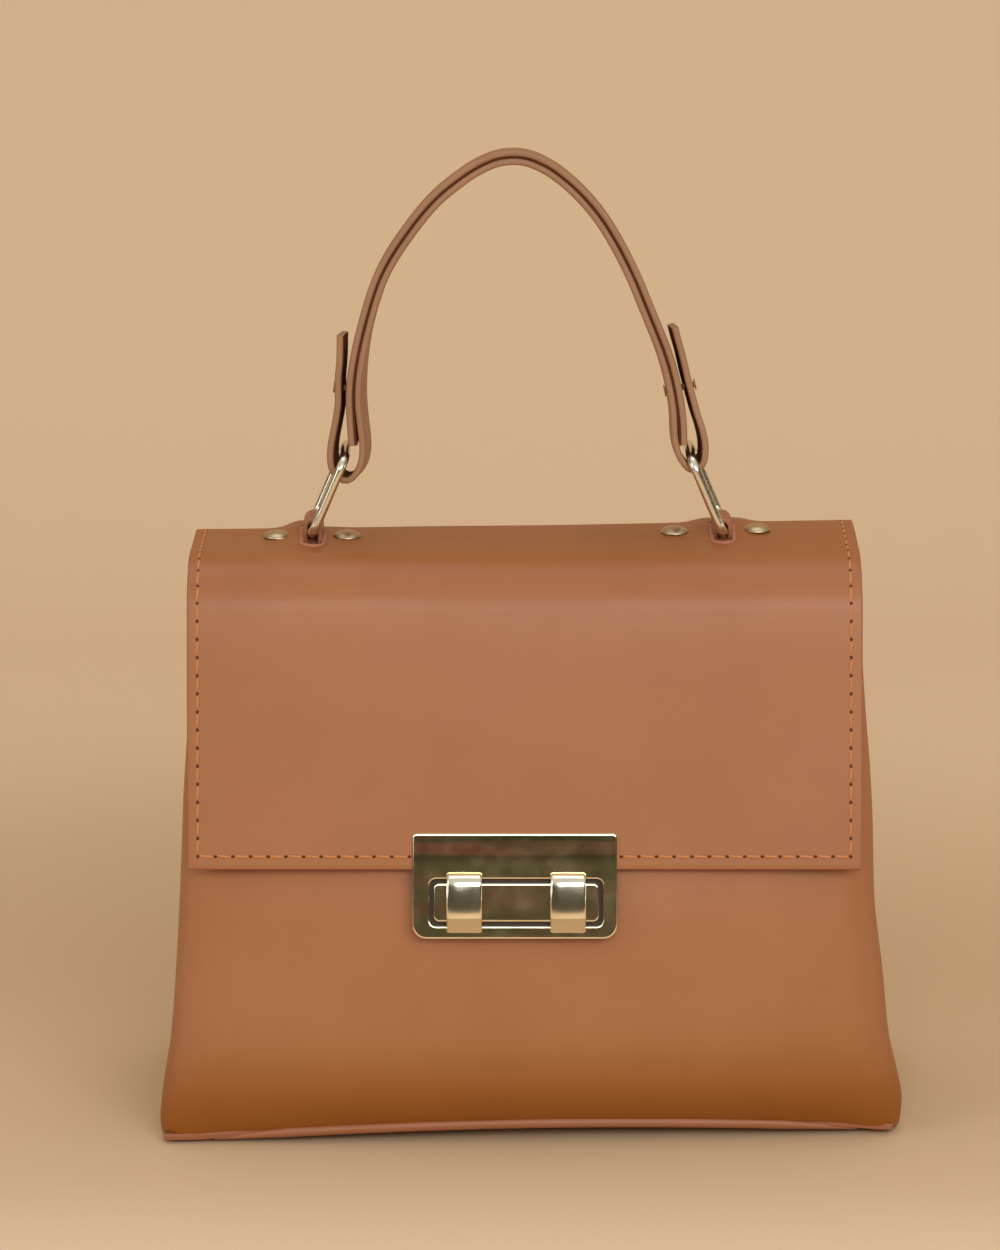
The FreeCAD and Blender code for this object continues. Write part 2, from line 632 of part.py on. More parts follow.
def top_lining(lowered):
    low_y, high_y = flat_span()
    half_x = size("flap_width") / 2 - size("stiffener_margin")
    low_z = size("flap_top_height") - size("flap_outer") - lowered - size("flap_lining")
    return plate_box(half_x, low_y, high_y, low_z, size("flap_lining"))


def fuse_all(shapes):
    return shapes[0].multiFuse(shapes[1:]) if len(shapes) > 1 else shapes[0]


# Ring tabs and their rivets on the flap top

TAB_SIDES = (
    ("left", -1, "left_outer_reach", "left_inner_reach"),
    ("right", 1, "right_inner_reach", "right_outer_reach"),
)


def tab_centre(side):
    return side * size("tab_spread") / 2 - size("hardware_shift")


def tab_spots():
    """Places of the four rivets, left to right."""
    spots = []
    for name, side, low_reach, high_reach in TAB_SIDES:
        centre = tab_centre(side)
        spots += [centre - size(low_reach), centre + size(high_reach)]
    return spots


def foot_top():
    return size("flap_top_height") - size("flap_outer")


def loop_inner():
    return size("ring_wire") / 2 + size("loop_side_play")


def loop_slots():
    cutters = []
    for name, side, low_reach, high_reach in TAB_SIDES:
        half_x = loop_inner() + size("tab_leather") + size("slot_play")
        half_y = size("tab_width") / 2 + size("slot_play")
        low = Vector(tab_centre(side) - half_x, size("hardware_back") - half_y, foot_top() - size("overrun"))
        cutters.append(Part.makeBox(2 * half_x, 2 * half_y, 2 * size("overrun"), low))
    return cutters


def foot_recesses():
    cutters = []
    for name, side, low_reach, high_reach in TAB_SIDES:
        play = size("slot_play")
        low_x = tab_centre(side) - size(low_reach) - size("foot_past_rivet") - play
        high_x = tab_centre(side) + size(high_reach) + size("foot_past_rivet") + play
        half_y = size("tab_width") / 2 + play
        low = Vector(low_x, size("hardware_back") - half_y, foot_top() - size("overrun"))
        cutters.append(Part.makeBox(high_x - low_x, 2 * half_y, 2 * size("overrun"), low))
    return cutters


def rivet_rods():
    radius = size("rivet_shank") + size("hole_play")
    start = foot_top() - size("overrun")
    return [Part.makeCylinder(radius, 2 * size("overrun"), Vector(x, size("hardware_back"), start))
            for x in tab_spots()]


def make_ring_tabs():
    thick = size("tab_leather")
    inner = loop_inner()
    outer = inner + thick
    top = foot_top()
    centre_z = size("loop_top") - outer
    for name, side, low_reach, high_reach in TAB_SIDES:
        low_x = -size(low_reach) - size("foot_past_rivet")
        high_x = size(high_reach) + size("foot_past_rivet")
        rows = [(low_x, top - thick), (low_x, top), (-outer, top), (-outer, centre_z)]
        edges = polyline_xz(rows)
        edges.append(arc_xz((-outer, centre_z), (0, size("loop_top")), (outer, centre_z)))
        rows = [(outer, centre_z), (outer, top), (high_x, top), (high_x, top - thick),
                (inner, top - thick), (inner, centre_z)]
        edges += polyline_xz(rows)
        edges.append(arc_xz((inner, centre_z), (0, size("loop_top") - thick), (-inner, centre_z)))
        edges += polyline_xz([(-inner, centre_z), (-inner, top - thick), (low_x, top - thick)])
        face = Part.Face(Part.Wire(edges))
        shape = face.extrude(Y_AXIS * size("tab_width"))
        holes = rivet_rods()
        start = Vector(tab_centre(side), size("hardware_back") - size("tab_width") / 2, 0)
        shape.translate(start)
        solid_piece("ring_tab_" + name, shape.cut(fuse_all(holes)))


def polyline_xz(rows):
    points = [Vector(x, 0, z) for x, z in rows]
    return [line(first, last) for first, last in zip(points, points[1:])]


def arc_xz(first, middle, last):
    return arc(*[Vector(x, 0, z) for x, z in (first, middle, last)])


def make_tab_rivets():
    """Domed caps above the flap and washers under its lining, one solid per rivet."""
    cap = size("rivet_cap")
    rim = size("rivet_rim")
    dome = size("rivet_dome")
    shank = size("rivet_shank")
    top = size("flap_top_height") + size("seam_gap")
    under = foot_top() - size("stiffener_thick") - size("flap_lining")
    washer_low = under - size("washer_thick") - size("seam_gap")
    crown = dome - rim
    ball = (cap * cap + crown * crown) / (2 * crown)
    half_turn = math.asin(cap / ball) / 2
    bulge = Vector(ball * math.sin(half_turn), 0, top + dome - ball * (1 - math.cos(half_turn)))
    edges = [line(Vector(0, 0, washer_low), Vector(shank, 0, washer_low)),
             line(Vector(shank, 0, washer_low), Vector(shank, 0, top)),
             line(Vector(shank, 0, top), Vector(cap, 0, top)),
             line(Vector(cap, 0, top), Vector(cap, 0, top + rim)),
             arc(Vector(cap, 0, top + rim), bulge, Vector(0, 0, top + dome)),
             line(Vector(0, 0, top + dome), Vector(0, 0, washer_low))]
    rivet = Part.Face(Part.Wire(edges)).revolve(Vector(0, 0, 0), Z_AXIS, 360)
    disc = Part.makeCylinder(size("washer_radius"), size("washer_thick"), Vector(0, 0, washer_low))
    hole = Part.makeCylinder(shank + size("hole_play"), size("overrun"), Vector(0, 0, washer_low - size("overrun") / 2))
    washer = disc.cut(hole)
    rivets = []
    washers = []
    for x in tab_spots():
        for source, group in ((rivet, rivets), (washer, washers)):
            copy = source.copy()
            copy.translate(Vector(x, size("hardware_back"), 0))
            group.append(copy)
    solid_piece("tab_rivets", Part.makeCompound(rivets))
    solid_piece("tab_washers", Part.makeCompound(washers))


# Wire rings and the two-layer handle strap

def rounded_loop(low, high, reach, corner):
    """Closed wire path in the YZ plane, with its first bar on the Y axis."""
    cut = corner * (1 - math.sqrt(0.5))

    def point(y, z):
        return Vector(0, y, z)
    edges = [
        line(point(low + corner, 0), point(high - corner, 0)),
        arc(point(high - corner, 0), point(high - cut, cut), point(high, corner)),
        line(point(high, corner), point(high, reach - corner)),
        arc(point(high, reach - corner), point(high - cut, reach - cut), point(high - corner, reach)),
        line(point(high - corner, reach), point(low + corner, reach)),
        arc(point(low + corner, reach), point(low + cut, reach - cut), point(low, reach - corner)),
        line(point(low, reach - corner), point(low, corner)),
        arc(point(low, corner), point(low + cut, cut), point(low + corner, 0))]
    return Part.Wire(edges)


def bent_wire(path, radius, start, direction):
    profile = Part.Wire(Part.makeCircle(radius, start, direction))
    return path.makePipeShell([profile], True, False)


def ring_place(side):
    return in_frame(RINGS, x=side * size("tab_spread") / 2, turn=Rotation(Y_AXIS, -side * math.degrees(RING_TILT)))


def make_rings():
    half = size("ring_width") / 2
    path = rounded_loop(-half, half, size("ring_reach"), size("ring_corner"))
    start = Vector(0, size("ring_corner") - half, 0)
    ring = bent_wire(path, size("ring_wire") / 2, start, Y_AXIS)
    for name, side in (("left", -1), ("right", 1)):
        solid_piece("ring_" + name, ring.copy(), ring_place(side))


def arch_points():
    return [(x * size("handle_half_span"), z * size("handle_rise")) for x, z in ARCH_SHARES]


def offset_points(points, distance):
    """Points moved sideways, to the left of the way they run."""
    moved = []
    for k, (x, z) in enumerate(points):
        before = points[max(k - 1, 0)]
        after = points[min(k + 1, len(points) - 1)]
        run_x = after[0] - before[0]
        run_z = after[1] - before[1]
        length = math.hypot(run_x, run_z)
        moved.append((x - run_z / length * distance, z + run_x / length * distance))
    return moved


def strap_solid(points, low, high, width):
    """Strap that follows points, between two sideways offsets, centred on the frame's plane."""
    curves = []
    for distance in (high, low):
        curve = Part.BSplineCurve()
        curve.interpolate([Vector(x, 0, z) for x, z in offset_points(points, distance)])
        curves.append([curve.toShape()])
    solid = Part.Face(sheet_wire(*curves)).extrude(Y_AXIS * width)
    solid.translate(Y_AXIS * (-width / 2))
    return solid


def wrap_points(side):
    """Middle line of one wrapped end, from the tip, round the ring, to the inside of the arch."""
    rows = WRAP_RIGHT_SHARES if side > 0 else WRAP_LEFT_SHARES
    half = size("handle_half_span")
    return [(side * (half + x * size("wrap_bulk")), z * size("wrap_rise")) for x, z in rows]


def strap_rivet_line(side):
    """Point on the arch's middle line at the rivet, and the way straight out of the strap there."""
    height = size("strap_rivet_height")
    points = arch_points() if side < 0 else list(reversed(arch_points()))
    for near, far in zip(points, points[1:]):
        if near[1] <= height <= far[1]:
            share = (height - near[1]) / (far[1] - near[1])
            spot = Vector(near[0] + share * (far[0] - near[0]), 0, height)
            return spot, Vector(side * (far[1] - near[1]), 0, side * (near[0] - far[0])).normalize()
    raise RuntimeError("the strap does not reach this height")


def reach_along(points, spot, way):
    """Distance from a spot along a way to the line through points."""
    for near, far in zip(points, points[1:]):
        run_x = far[0] - near[0]
        run_z = far[1] - near[1]
        turn = way.x * run_z - way.z * run_x
        share = ((near[0] - spot.x) * way.z - (near[1] - spot.z) * way.x) / -turn if turn else -1
        if 0 <= share <= 1:
            return math.hypot(near[0] + share * run_x - spot.x, near[1] + share * run_z - spot.z)
    raise RuntimeError("the wrapped end does not pass the rivet")


def make_handle():
    arch = arch_points()
    core = size("core_thick") / 2
    gap = size("strap_gap")
    leather = size("strap_leather")
    width = size("strap_width")
    core_width = width - 2 * size("core_inset")
    middle = core + gap + leather / 2
    inner_arch = [point for point in offset_points(arch, -middle)][2:-2]
    inner = wrap_points(-1) + inner_arch + list(reversed(wrap_points(1)))
    holes = fuse_all(strap_rivet_rods(size("strap_rivet_radius") + size("strap_rivet_play")))
    outer_solid = strap_solid(arch, core + gap, core + gap + leather, width)
    core_solid = strap_solid(arch, -core, core, core_width)
    inner_solid = strap_solid(inner, -leather / 2, leather / 2, width)
    solid_piece("handle_outer_layer", outer_solid.cut(holes), HANDLE)
    solid_piece("handle_core", core_solid.cut(holes).cut(inner_solid), HANDLE)
    solid_piece("handle_inner_layer", inner_solid.cut(holes), HANDLE)
    rods = strap_rivet_rods(size("strap_rivet_radius"))
    heads = strap_rivet_heads()
    solids = [rod.fuse(pair).removeSplitter() for rod, pair in zip(rods, heads)]
    solid_piece("handle_rivets", Part.makeCompound(solids), HANDLE)


def strap_stack(side):
    """Rivet's spot and way, and how far the stack of leather reaches inwards and outwards along it."""
    spot, way = strap_rivet_line(side)
    inner = size("core_thick") / 2 + size("strap_gap") + size("strap_leather") + size("strap_head_in")
    outer = reach_along(wrap_points(side), spot, way) + size("strap_leather") / 2 + size("strap_head_out")
    return spot, way, inner, outer


def strap_rivet_rods(radius):
    rods = []
    thick = size("strap_head_thick")
    for side in (-1, 1):
        spot, way, inner, outer = strap_stack(side)
        rods.append(Part.makeCylinder(radius, inner + outer + 2 * thick, spot - way * (inner + thick), way))
    return rods


def strap_rivet_heads():
    heads = []
    thick = size("strap_head_thick")
    for side in (-1, 1):
        spot, way, inner, outer = strap_stack(side)
        pair = [Part.makeCylinder(size("strap_rivet_head"), thick, start, way)
                for start in (spot - way * (inner + thick), spot + way * outer)]
        heads.append(Part.makeCompound(pair))
    return heads


# Lock plate assembly on the flap

def window_limits(margin):
    """Formulas of the lock window's limits, drawn in by a margin."""
    half_x = "( window_width / 2 - %s )" % margin
    half_y = "( window_height / 2 - %s )" % margin
    return ("window_shift - " + half_x, "window_shift + " + half_x,
            "-1 * window_drop - " + half_y, "-1 * window_drop + " + half_y)


def make_lock_plate():
    body = new_body("lock_plate")
    half_x = "( lock_width / 2 )"
    half_y = "( lock_height / 2 )"
    outline = rectangle(body, "plate_outline", "XY_Plane", "-1 * " + half_x, half_x,
                        "-1 * " + half_y, half_y)
    plate = pad(body, "plate_pad", outline, "lock_thick")
    low = dress(body, "Fillet", "plate_low_corners", plate,
                lambda edge: along(edge, Z_AXIS) and edge.CenterOfMass.y < 0, "lock_low_corner")
    high = dress(body, "Fillet", "plate_top_corners", low,
                 lambda edge: along(edge, Z_AXIS) and edge.CenterOfMass.y > size("lock_height") / 4
                 and abs(edge.CenterOfMass.y - size("lock_height") / 2) < size("lock_bevel"),
                 "lock_top_corner")
    window = rectangle(body, "window_outline", "XY_Plane", *window_limits("0"), "-1 * overrun")
    opening = pocket(body, "window_cut", window, "2 * overrun", reverse=True)
    corners = dress(body, "Fillet", "window_corners", opening, is_window_corner, "window_corner")
    front = size("lock_thick")
    bevel = dress(body, "Chamfer", "plate_bevel", corners,
                  lambda edge: abs(edge.BoundBox.ZMin - front) < 1e-6 and edge.BoundBox.ZLength < 1e-6,
                  "lock_bevel")
    doc.recompute()
    spots = prong_spots()
    sockets = circles(body, "prong_outline", "XY_Plane", spots, "prong_radius + hole_play", "0")
    pocket(body, "prong_sockets", sockets, "prong_bite + seam_gap", reverse=True)
    keep(body, "lock_plate", LOCK)
    return high, bevel


def is_window_corner(edge):
    if not along(edge, Z_AXIS):
        return False
    near_x = abs(abs(edge.CenterOfMass.x - size("window_shift")) - size("window_width") / 2) < 1e-3
    near_y = abs(abs(edge.CenterOfMass.y + size("window_drop")) - size("window_height") / 2) < 1e-3
    return near_x and near_y


def prong_spots():
    return (("-1 * prong_spread", "clamp_rise"), ("prong_spread", "clamp_rise"))


def prong_rods(play):
    """Rods through the flap where the lock's prongs pass."""
    rods = []
    for side in (-1, 1):
        start = Vector(side * size("prong_spread"), size("clamp_rise"), -2 * size("overrun"))
        rod = Part.makeCylinder(size("prong_radius") + play, 3 * size("overrun"), start, Z_AXIS)
        rod.Placement = LOCK * rod.Placement
        rods.append(rod)
    return rods


def make_lock_clamp():
    """Plate behind the flap whose prongs go through the leather into the lock plate."""
    body = new_body("lock_clamp")
    back = "( flap_outer + flap_lining + seam_gap )"
    outline = rectangle(body, "clamp_outline", "XY_Plane", "-1 * clamp_width / 2", "clamp_width / 2",
                        "clamp_rise - clamp_height / 2", "clamp_rise + clamp_height / 2",
                        "-1 * " + back)
    plate = pad(body, "clamp_pad", outline, "clamp_thick", reverse=True)
    sketch = circles(body, "clamp_prong_outline", "XY_Plane", prong_spots(), "prong_radius",
                     "-1 * " + back)
    pad(body, "clamp_prongs", sketch, back + " + prong_bite")
    keep(body, "lock_clamp", LOCK)
    return plate


def toggle_spots():
    return tuple(("window_shift %s toggle_spread / 2" % sign, "-1 * window_drop") for sign in "-+")


def make_lock_tray():
    """Shallow tray behind the window that carries the inlay and the toggle shafts."""
    body = new_body("lock_tray")
    outline = rectangle(body, "tray_outline", "XY_Plane", *window_limits("-1 * tray_wall"),
                        "-1 * tray_depth")
    block = pad(body, "tray_block", outline, "tray_depth - lock_gap")
    hollow = rectangle(body, "tray_hollow", "XY_Plane", *window_limits("tray_play"),
                       "tray_floor - tray_depth")
    pocket(body, "tray_cut", hollow, "overrun", reverse=True)
    bores = circles(body, "tray_bores", "XY_Plane", toggle_spots(), "shaft_radius + hole_play",
                    "-1 * overrun")
    pocket(body, "tray_bore_cut", bores, "2 * overrun", reverse=True)
    keep(body, "lock_tray", LOCK)
    return block


def make_lock_inlay():
    """Bevelled plate that shows inside the window, seated on the tray's floor."""
    body = new_body("lock_inlay")
    seat = "( tray_floor - tray_depth + lock_gap )"
    outline = rectangle(body, "inlay_outline", "XY_Plane", *window_limits("inlay_gap"), seat)
    block = pad(body, "inlay_pad", outline, "lock_thick - inlay_recess - " + seat)
    corners = dress(body, "Fillet", "inlay_corners", block, lambda edge: along(edge, Z_AXIS),
                    "inlay_corner")
    front = size("lock_thick") - size("inlay_recess")
    dress(body, "Chamfer", "inlay_edge", corners,
          lambda edge: abs(edge.BoundBox.ZMin - front) < 1e-6 and edge.BoundBox.ZLength < 1e-6,
          "inlay_bevel")
    doc.recompute()
    bores = circles(body, "inlay_bores", "XY_Plane", toggle_spots(), "shaft_radius + hole_play",
                    "-1 * overrun")
    pocket(body, "inlay_bore_cut", bores, "2 * overrun", reverse=True)
    keep(body, "lock_inlay", LOCK)


def toggle_place(side):
    across = size("window_shift") + side * size("toggle_spread") / 2
    return in_frame(LOCK, x=across, y=-size("window_drop"))


def make_toggle(name, side):
    """Bent strap with a hub, a shaft through the tray and a reduced tip for the cam."""
    label = "toggle_" + name
    body = new_body(label)
    foot = "( lock_thick + toggle_lift )"
    top = "( lock_thick + toggle_lift + toggle_lip + toggle_rise )"
    under = "( lock_thick + toggle_lift + toggle_lip + toggle_rise - toggle_strap )"
    corners = (
        ("-1 * toggle_reach", foot), ("-1 * toggle_reach + toggle_strap", foot),
        ("-1 * toggle_reach + toggle_low_run + toggle_strap / 3", under),
        ("toggle_reach - toggle_top_run - toggle_strap / 3", under),
        ("toggle_reach - toggle_strap", foot), ("toggle_reach", foot),
        ("toggle_reach", foot + " + toggle_lip"), ("toggle_reach - toggle_top_run", top),
        ("-1 * toggle_reach + toggle_low_run", top), ("-1 * toggle_reach", foot + " + toggle_lip"))
    outline = polygon(body, label + "_outline", "YZ_Plane", corners)
    strap = pad(body, label + "_strap", outline, "toggle_width", middle=True)
    top_z = size("lock_thick") + size("toggle_lift") + size("toggle_lip") + size("toggle_rise")
    bends = dress(body, "Fillet", label + "_bends", strap,
                  lambda edge: along(edge, X_AXIS) and abs(edge.CenterOfMass.z - top_z) < 1e-6,
                  "toggle_bend")
    half = size("toggle_width") / 2
    limit_z = size("lock_thick") + size("toggle_lift") + size("toggle_lip") / 2
    bevel = dress(body, "Chamfer", label + "_bevel", bends, lambda edge: is_front_side(edge, half, limit_z),
                  "toggle_bevel")
    doc.recompute()
    hub = circles(body, label + "_hub_outline", "XY_Plane", (None,), "hub_radius",
                  "lock_thick - inlay_recess + hub_lift")
    hub_pad = pad(body, label + "_hub", hub,
                  "toggle_lift + toggle_lip + toggle_rise + inlay_recess - hub_lift - toggle_strap / 2")
    shaft = circles(body, label + "_shaft_outline", "XY_Plane", (None,), "shaft_radius",
                    "lock_thick - inlay_recess + hub_lift + seam_gap")
    shaft_pad = pad(body, label + "_shaft", shaft,
                    "lock_thick - inlay_recess + hub_lift + seam_gap + cam_back - cam_thick", reverse=True)
    tip = circles(body, label + "_tip_outline", "XY_Plane", (None,), "tip_radius",
                  "cam_thick - cam_back + seam_gap")
    pad(body, label + "_tip", tip, "cam_thick + seam_gap", reverse=True)
    keep(body, label, toggle_place(side))
    return bevel, hub_pad, shaft_pad


def is_front_side(edge, half, limit_z):
    """Outer edges of the strap's two flanks, from lip to lip."""
    on_side = abs(abs(edge.CenterOfMass.x) - half) < 1e-6 and edge.BoundBox.XLength < 1e-6
    if not on_side or edge.BoundBox.ZMin < limit_z:
        return False
    top_z = size("lock_thick") + size("toggle_lift") + size("toggle_lip") + size("toggle_rise")
    inner = top_z - size("toggle_strap")
    reach = size("toggle_reach")
    outside_slope = abs(edge.CenterOfMass.y) > reach - size("toggle_low_run")
    sits_high = edge.BoundBox.ZMax > inner + size("toggle_strap") / 4
    return sits_high and (edge.BoundBox.ZMin > inner + 1e-3 or outside_slope)


def make_cam(name, side):
    """Flat bar on the shaft's tip that turns behind the strike plate."""
    label = "toggle_cam_" + name
    body = new_body(label)
    outline = rectangle(body, label + "_outline", "XY_Plane", "-1 * cam_width / 2", "cam_width / 2",
                        "-1 * cam_length / 2", "cam_length / 2", "-1 * cam_back")
    bar = pad(body, label + "_bar", outline, "cam_thick - lock_gap")
    bore = circles(body, label + "_bore", "XY_Plane", (None,), "tip_radius + hole_play / 3",
                   "-1 * cam_back - overrun")
    pocket(body, label + "_bore_cut", bore, "2 * overrun", reverse=True)
    keep(body, label, toggle_place(side))
    return bar


def make_clip(name, side):
    """Retaining ring on the shaft behind the tray."""
    label = "toggle_clip_" + name
    body = new_body(label)
    outline = circles(body, label + "_outline", "XY_Plane", (None,), "clip_radius",
                      "-1 * tray_depth - lock_gap")
    disc = pad(body, label + "_disc", outline, "clip_thick", reverse=True)
    bore = circles(body, label + "_bore", "XY_Plane", (None,), "shaft_radius + hole_play / 3",
                   "-1 * tray_depth - overrun")
    pocket(body, label + "_bore_cut", bore, "2 * overrun", reverse=True)
    keep(body, label, toggle_place(side))
    return disc


# Strike plate on the body, behind the lock

def strike_place():
    return in_frame(LOCK, x=size("window_shift"), y=-size("window_drop"))


def strike_rivet_rods(radius):
    rods = []
    for side in (-1, 1):
        start = Vector(side * size("strike_rivet_spread"), size("strike_rivet_rise"),
                       -size("backing_back") - size("overrun"))
        rod = Part.makeCylinder(radius, size("backing_back") + 2 * size("overrun"), start, Z_AXIS)
        rod.Placement = strike_place() * rod.Placement
        rods.append(rod)
    return rods


def make_strike():
    body = new_body("strike_plate")
    half_x = "( strike_width / 2 )"
    half_y = "( strike_height / 2 )"
    outline = rectangle(body, "strike_outline", "XY_Plane", "-1 * " + half_x, half_x, "-1 * " + half_y,
                        half_y, "-1 * strike_back")
    plate = pad(body, "strike_pad", outline, "strike_thick")
    dress(body, "Fillet", "strike_corners", plate, lambda edge: along(edge, Z_AXIS), "strike_corner")
    for name, sign in (("left", "-"), ("right", "+")):
        middle = "%s1 * toggle_spread / 2" % ("-" if sign == "-" else "")
        half_slot = "( cam_width / 2 + slot_side_play )"
        slot = rectangle(body, "slot_outline_" + name, "XY_Plane", middle + " - " + half_slot,
                         middle + " + " + half_slot, "-1 * cam_length / 2 - slot_low_play",
                         "cam_length / 2 + slot_top_play", "-1 * strike_back - overrun")
        pocket(body, "slot_cut_" + name, slot, "2 * overrun", reverse=True)
    spots = (("-1 * strike_rivet_spread", "strike_rivet_rise"), ("strike_rivet_spread", "strike_rivet_rise"))
    holes = circles(body, "strike_hole_outline", "XY_Plane", spots, "strike_rivet_radius + hole_play",
                    "-1 * strike_back - overrun")
    pocket(body, "strike_hole_cut", holes, "2 * overrun", reverse=True)
    keep(body, "strike_plate", strike_place())
    make_backing(spots)
    make_strike_rivets()


def make_backing(spots):
    body = new_body("strike_backing")
    outline = rectangle(body, "backing_outline", "XY_Plane", "-1 * strike_width / 2", "strike_width / 2",
                        "-1 * strike_height / 2", "strike_height / 2", "-1 * backing_back")
    pad(body, "backing_pad", outline, "backing_thick")
    holes = circles(body, "backing_hole_outline", "XY_Plane", spots, "strike_rivet_radius + hole_play",
                    "-1 * backing_back - overrun")
    pocket(body, "backing_hole_cut", holes, "2 * overrun", reverse=True)
    keep(body, "strike_backing", strike_place())


def make_strike_rivets():
    front = size("strike_thick") - size("strike_back") + size("lock_gap")
    back = -size("backing_back") - size("lock_gap")
    solids = []
    for side in (-1, 1):
        x = side * size("strike_rivet_spread")
        y = size("strike_rivet_rise")
        thick = size("strike_head_thick")
        shank = Part.makeCylinder(size("strike_rivet_radius"), front - back, Vector(x, y, back))
        head = Part.makeCylinder(size("strike_rivet_head"), thick, Vector(x, y, front))
        tail = Part.makeCylinder(size("strike_rivet_head"), thick, Vector(x, y, back - thick))
        solids.append(shank.multiFuse([head, tail]).removeSplitter())
    solid_piece("strike_rivets", Part.makeCompound(solids), strike_place())


# Strap rings on the side gussets

def gusset_surface(height):
    """Outside of the gusset's fold in X at a height, by the nearest two levels."""
    rows = [level(row) + (row[0],) for row in LEVEL_SHARES]
    for low, high in zip(rows, rows[1:]):
        if low[0] <= height <= high[0]:
            share = (height - low[0]) / (high[0] - low[0])
            half_width = low[1] + (high[1] - low[1]) * share
            rise = low[3] + (high[3] - low[3]) * share
            tuck = size("gusset_foot_tuck") + (size("gusset_tuck") - size("gusset_foot_tuck")) * rise
            return half_width - size("gusset_inset") - tuck
    return rows[-1][1]


def dring_place(side):
    """Frame on the middle of the ring's bar, leaning as the gusset does."""
    drop = size("dring_tab_drop")
    near = gusset_surface(size("dring_height"))
    lean = math.degrees(math.atan2(gusset_surface(size("dring_height") - drop) - near, drop))
    bar = size("dring_wire") / 2 + size("dring_play")
    spot = Vector(side * (near + size("dring_stand") + size("dring_tab_leather") + bar), 0,
                  size("dring_height"))
    turn = Rotation(Z_AXIS, 0 if side > 0 else 180) * Rotation(Y_AXIS, -lean)
    return Placement(spot, turn)


def dring_rivet_hole(side):
    radius = size("dring_rivet_shank") + size("hole_play")
    start = Vector(-2 * size("overrun"), 0, -size("dring_rivet_drop"))
    rod = Part.makeCylinder(radius, 4 * size("overrun"), start, X_AXIS)
    rod.Placement = dring_place(side) * rod.Placement
    return rod


def make_dring_parts():
    """Leather tab folded over the bar of a D ring, with one rivet, on each side."""
    thick = size("dring_tab_leather")
    inner = size("dring_wire") / 2 + size("dring_play")
    outer = inner + thick
    drop = size("dring_tab_drop")
    step = size("seam_gap") - inner
    bend = -size("dring_fold_drop")
    edges = polyline_xz([(-inner, -drop), (-inner, 0)])
    edges.append(arc_xz((-inner, 0), (0, inner), (inner, 0)))
    edges += polyline_xz([(inner, 0), (step, bend), (step, -drop), (step + thick, -drop),
                          (step + thick, bend), (outer, 0)])
    edges.append(arc_xz((outer, 0), (0, outer), (-outer, 0)))
    edges += polyline_xz([(-outer, 0), (-outer, -drop), (-inner, -drop)])
    tab = Part.Face(Part.Wire(edges)).extrude(Y_AXIS * size("dring_tab_width"))
    tab.translate(Y_AXIS * (-size("dring_tab_width") / 2))
    rivets = []
    for name, side in (("left", -1), ("right", 1)):
        place = dring_place(side)
        cutter = Part.makeCylinder(size("dring_rivet_shank") + size("hole_play"), 4 * outer,
                                   Vector(-2 * outer, 0, -size("dring_rivet_drop")), X_AXIS)
        solid_piece("dring_tab_" + name, tab.cut(cutter), place)
        hang = place * Placement(Vector(0, 0, 0), Rotation(Y_AXIS, -size("dring_tilt")))
        solid_piece("dring_" + name, dring_shape(), hang)
        rivet = dring_rivet_shape(outer, step + thick)
        rivet.Placement = place
        rivets.append(rivet)
    solid_piece("dring_rivets", Part.makeCompound(rivets))


def dring_shape():
    """D of round wire that hangs from its straight bar."""
    radius = size("dring_wire") / 2
    half = size("dring_inner") / 2 + radius
    reach = size("dring_reach")
    corner = size("dring_wire")
    cut = corner * (1 - math.sqrt(0.5))
    straight = reach - half

    def point(y, z):
        return Vector(0, y, z)
    edges = [
        line(point(corner - half, 0), point(half - corner, 0)),
        arc(point(half - corner, 0), point(half - cut, -cut), point(half, -corner)),
        line(point(half, -corner), point(half, -straight)),
        arc(point(half, -straight), point(0, -reach), point(-half, -straight)),
        line(point(-half, -straight), point(-half, -corner)),
        arc(point(-half, -corner), point(cut - half, -cut), point(corner - half, 0))]
    return bent_wire(Part.Wire(edges), radius, point(corner - half, 0), Y_AXIS)


def dring_rivet_shape(outer, face):
    shank = size("dring_rivet_shank")
    head = size("dring_rivet")
    thick = size("dring_head_thick")
    gap = size("lock_gap")
    low = -size("dring_rivet_drop")
    tail = size("dring_tail_thick")
    start = -outer - size("dring_stand") - size("gusset_leather") - gap
    rod = Part.makeCylinder(shank, face + gap - start, Vector(start, 0, low), X_AXIS)
    front = Part.makeCylinder(head, thick, Vector(face + gap, 0, low), X_AXIS)
    back = Part.makeCylinder(size("dring_rivet_tail"), tail, Vector(start - tail, 0, low), X_AXIS)
    return rod.multiFuse([front, back]).removeSplitter()


# Assembly

make_body_shell()
make_lining()
make_base()
make_inner_pocket()
make_flap()
make_ring_tabs()
make_tab_rivets()
make_rings()
make_handle()
make_lock_plate()
make_lock_clamp()
make_lock_tray()
make_lock_inlay()
for toggle_name, toggle_side in (("left", -1), ("right", 1)):
    make_toggle(toggle_name, toggle_side)
    make_cam(toggle_name, toggle_side)
    make_clip(toggle_name, toggle_side)
make_strike()
make_dring_parts()
doc.recompute()

# Frame: the whole bag's box is centred front to back over the origin

box = FreeCAD.BoundBox()
for piece in pieces:
    box.add(piece.Shape.BoundBox)
CENTRING = Vector(0, -(box.YMin + box.YMax) / 2, 0)
for piece in pieces:
    piece.Placement = Placement(CENTRING, Rotation()) * piece.Placement
doc.recompute()

# Checks and files

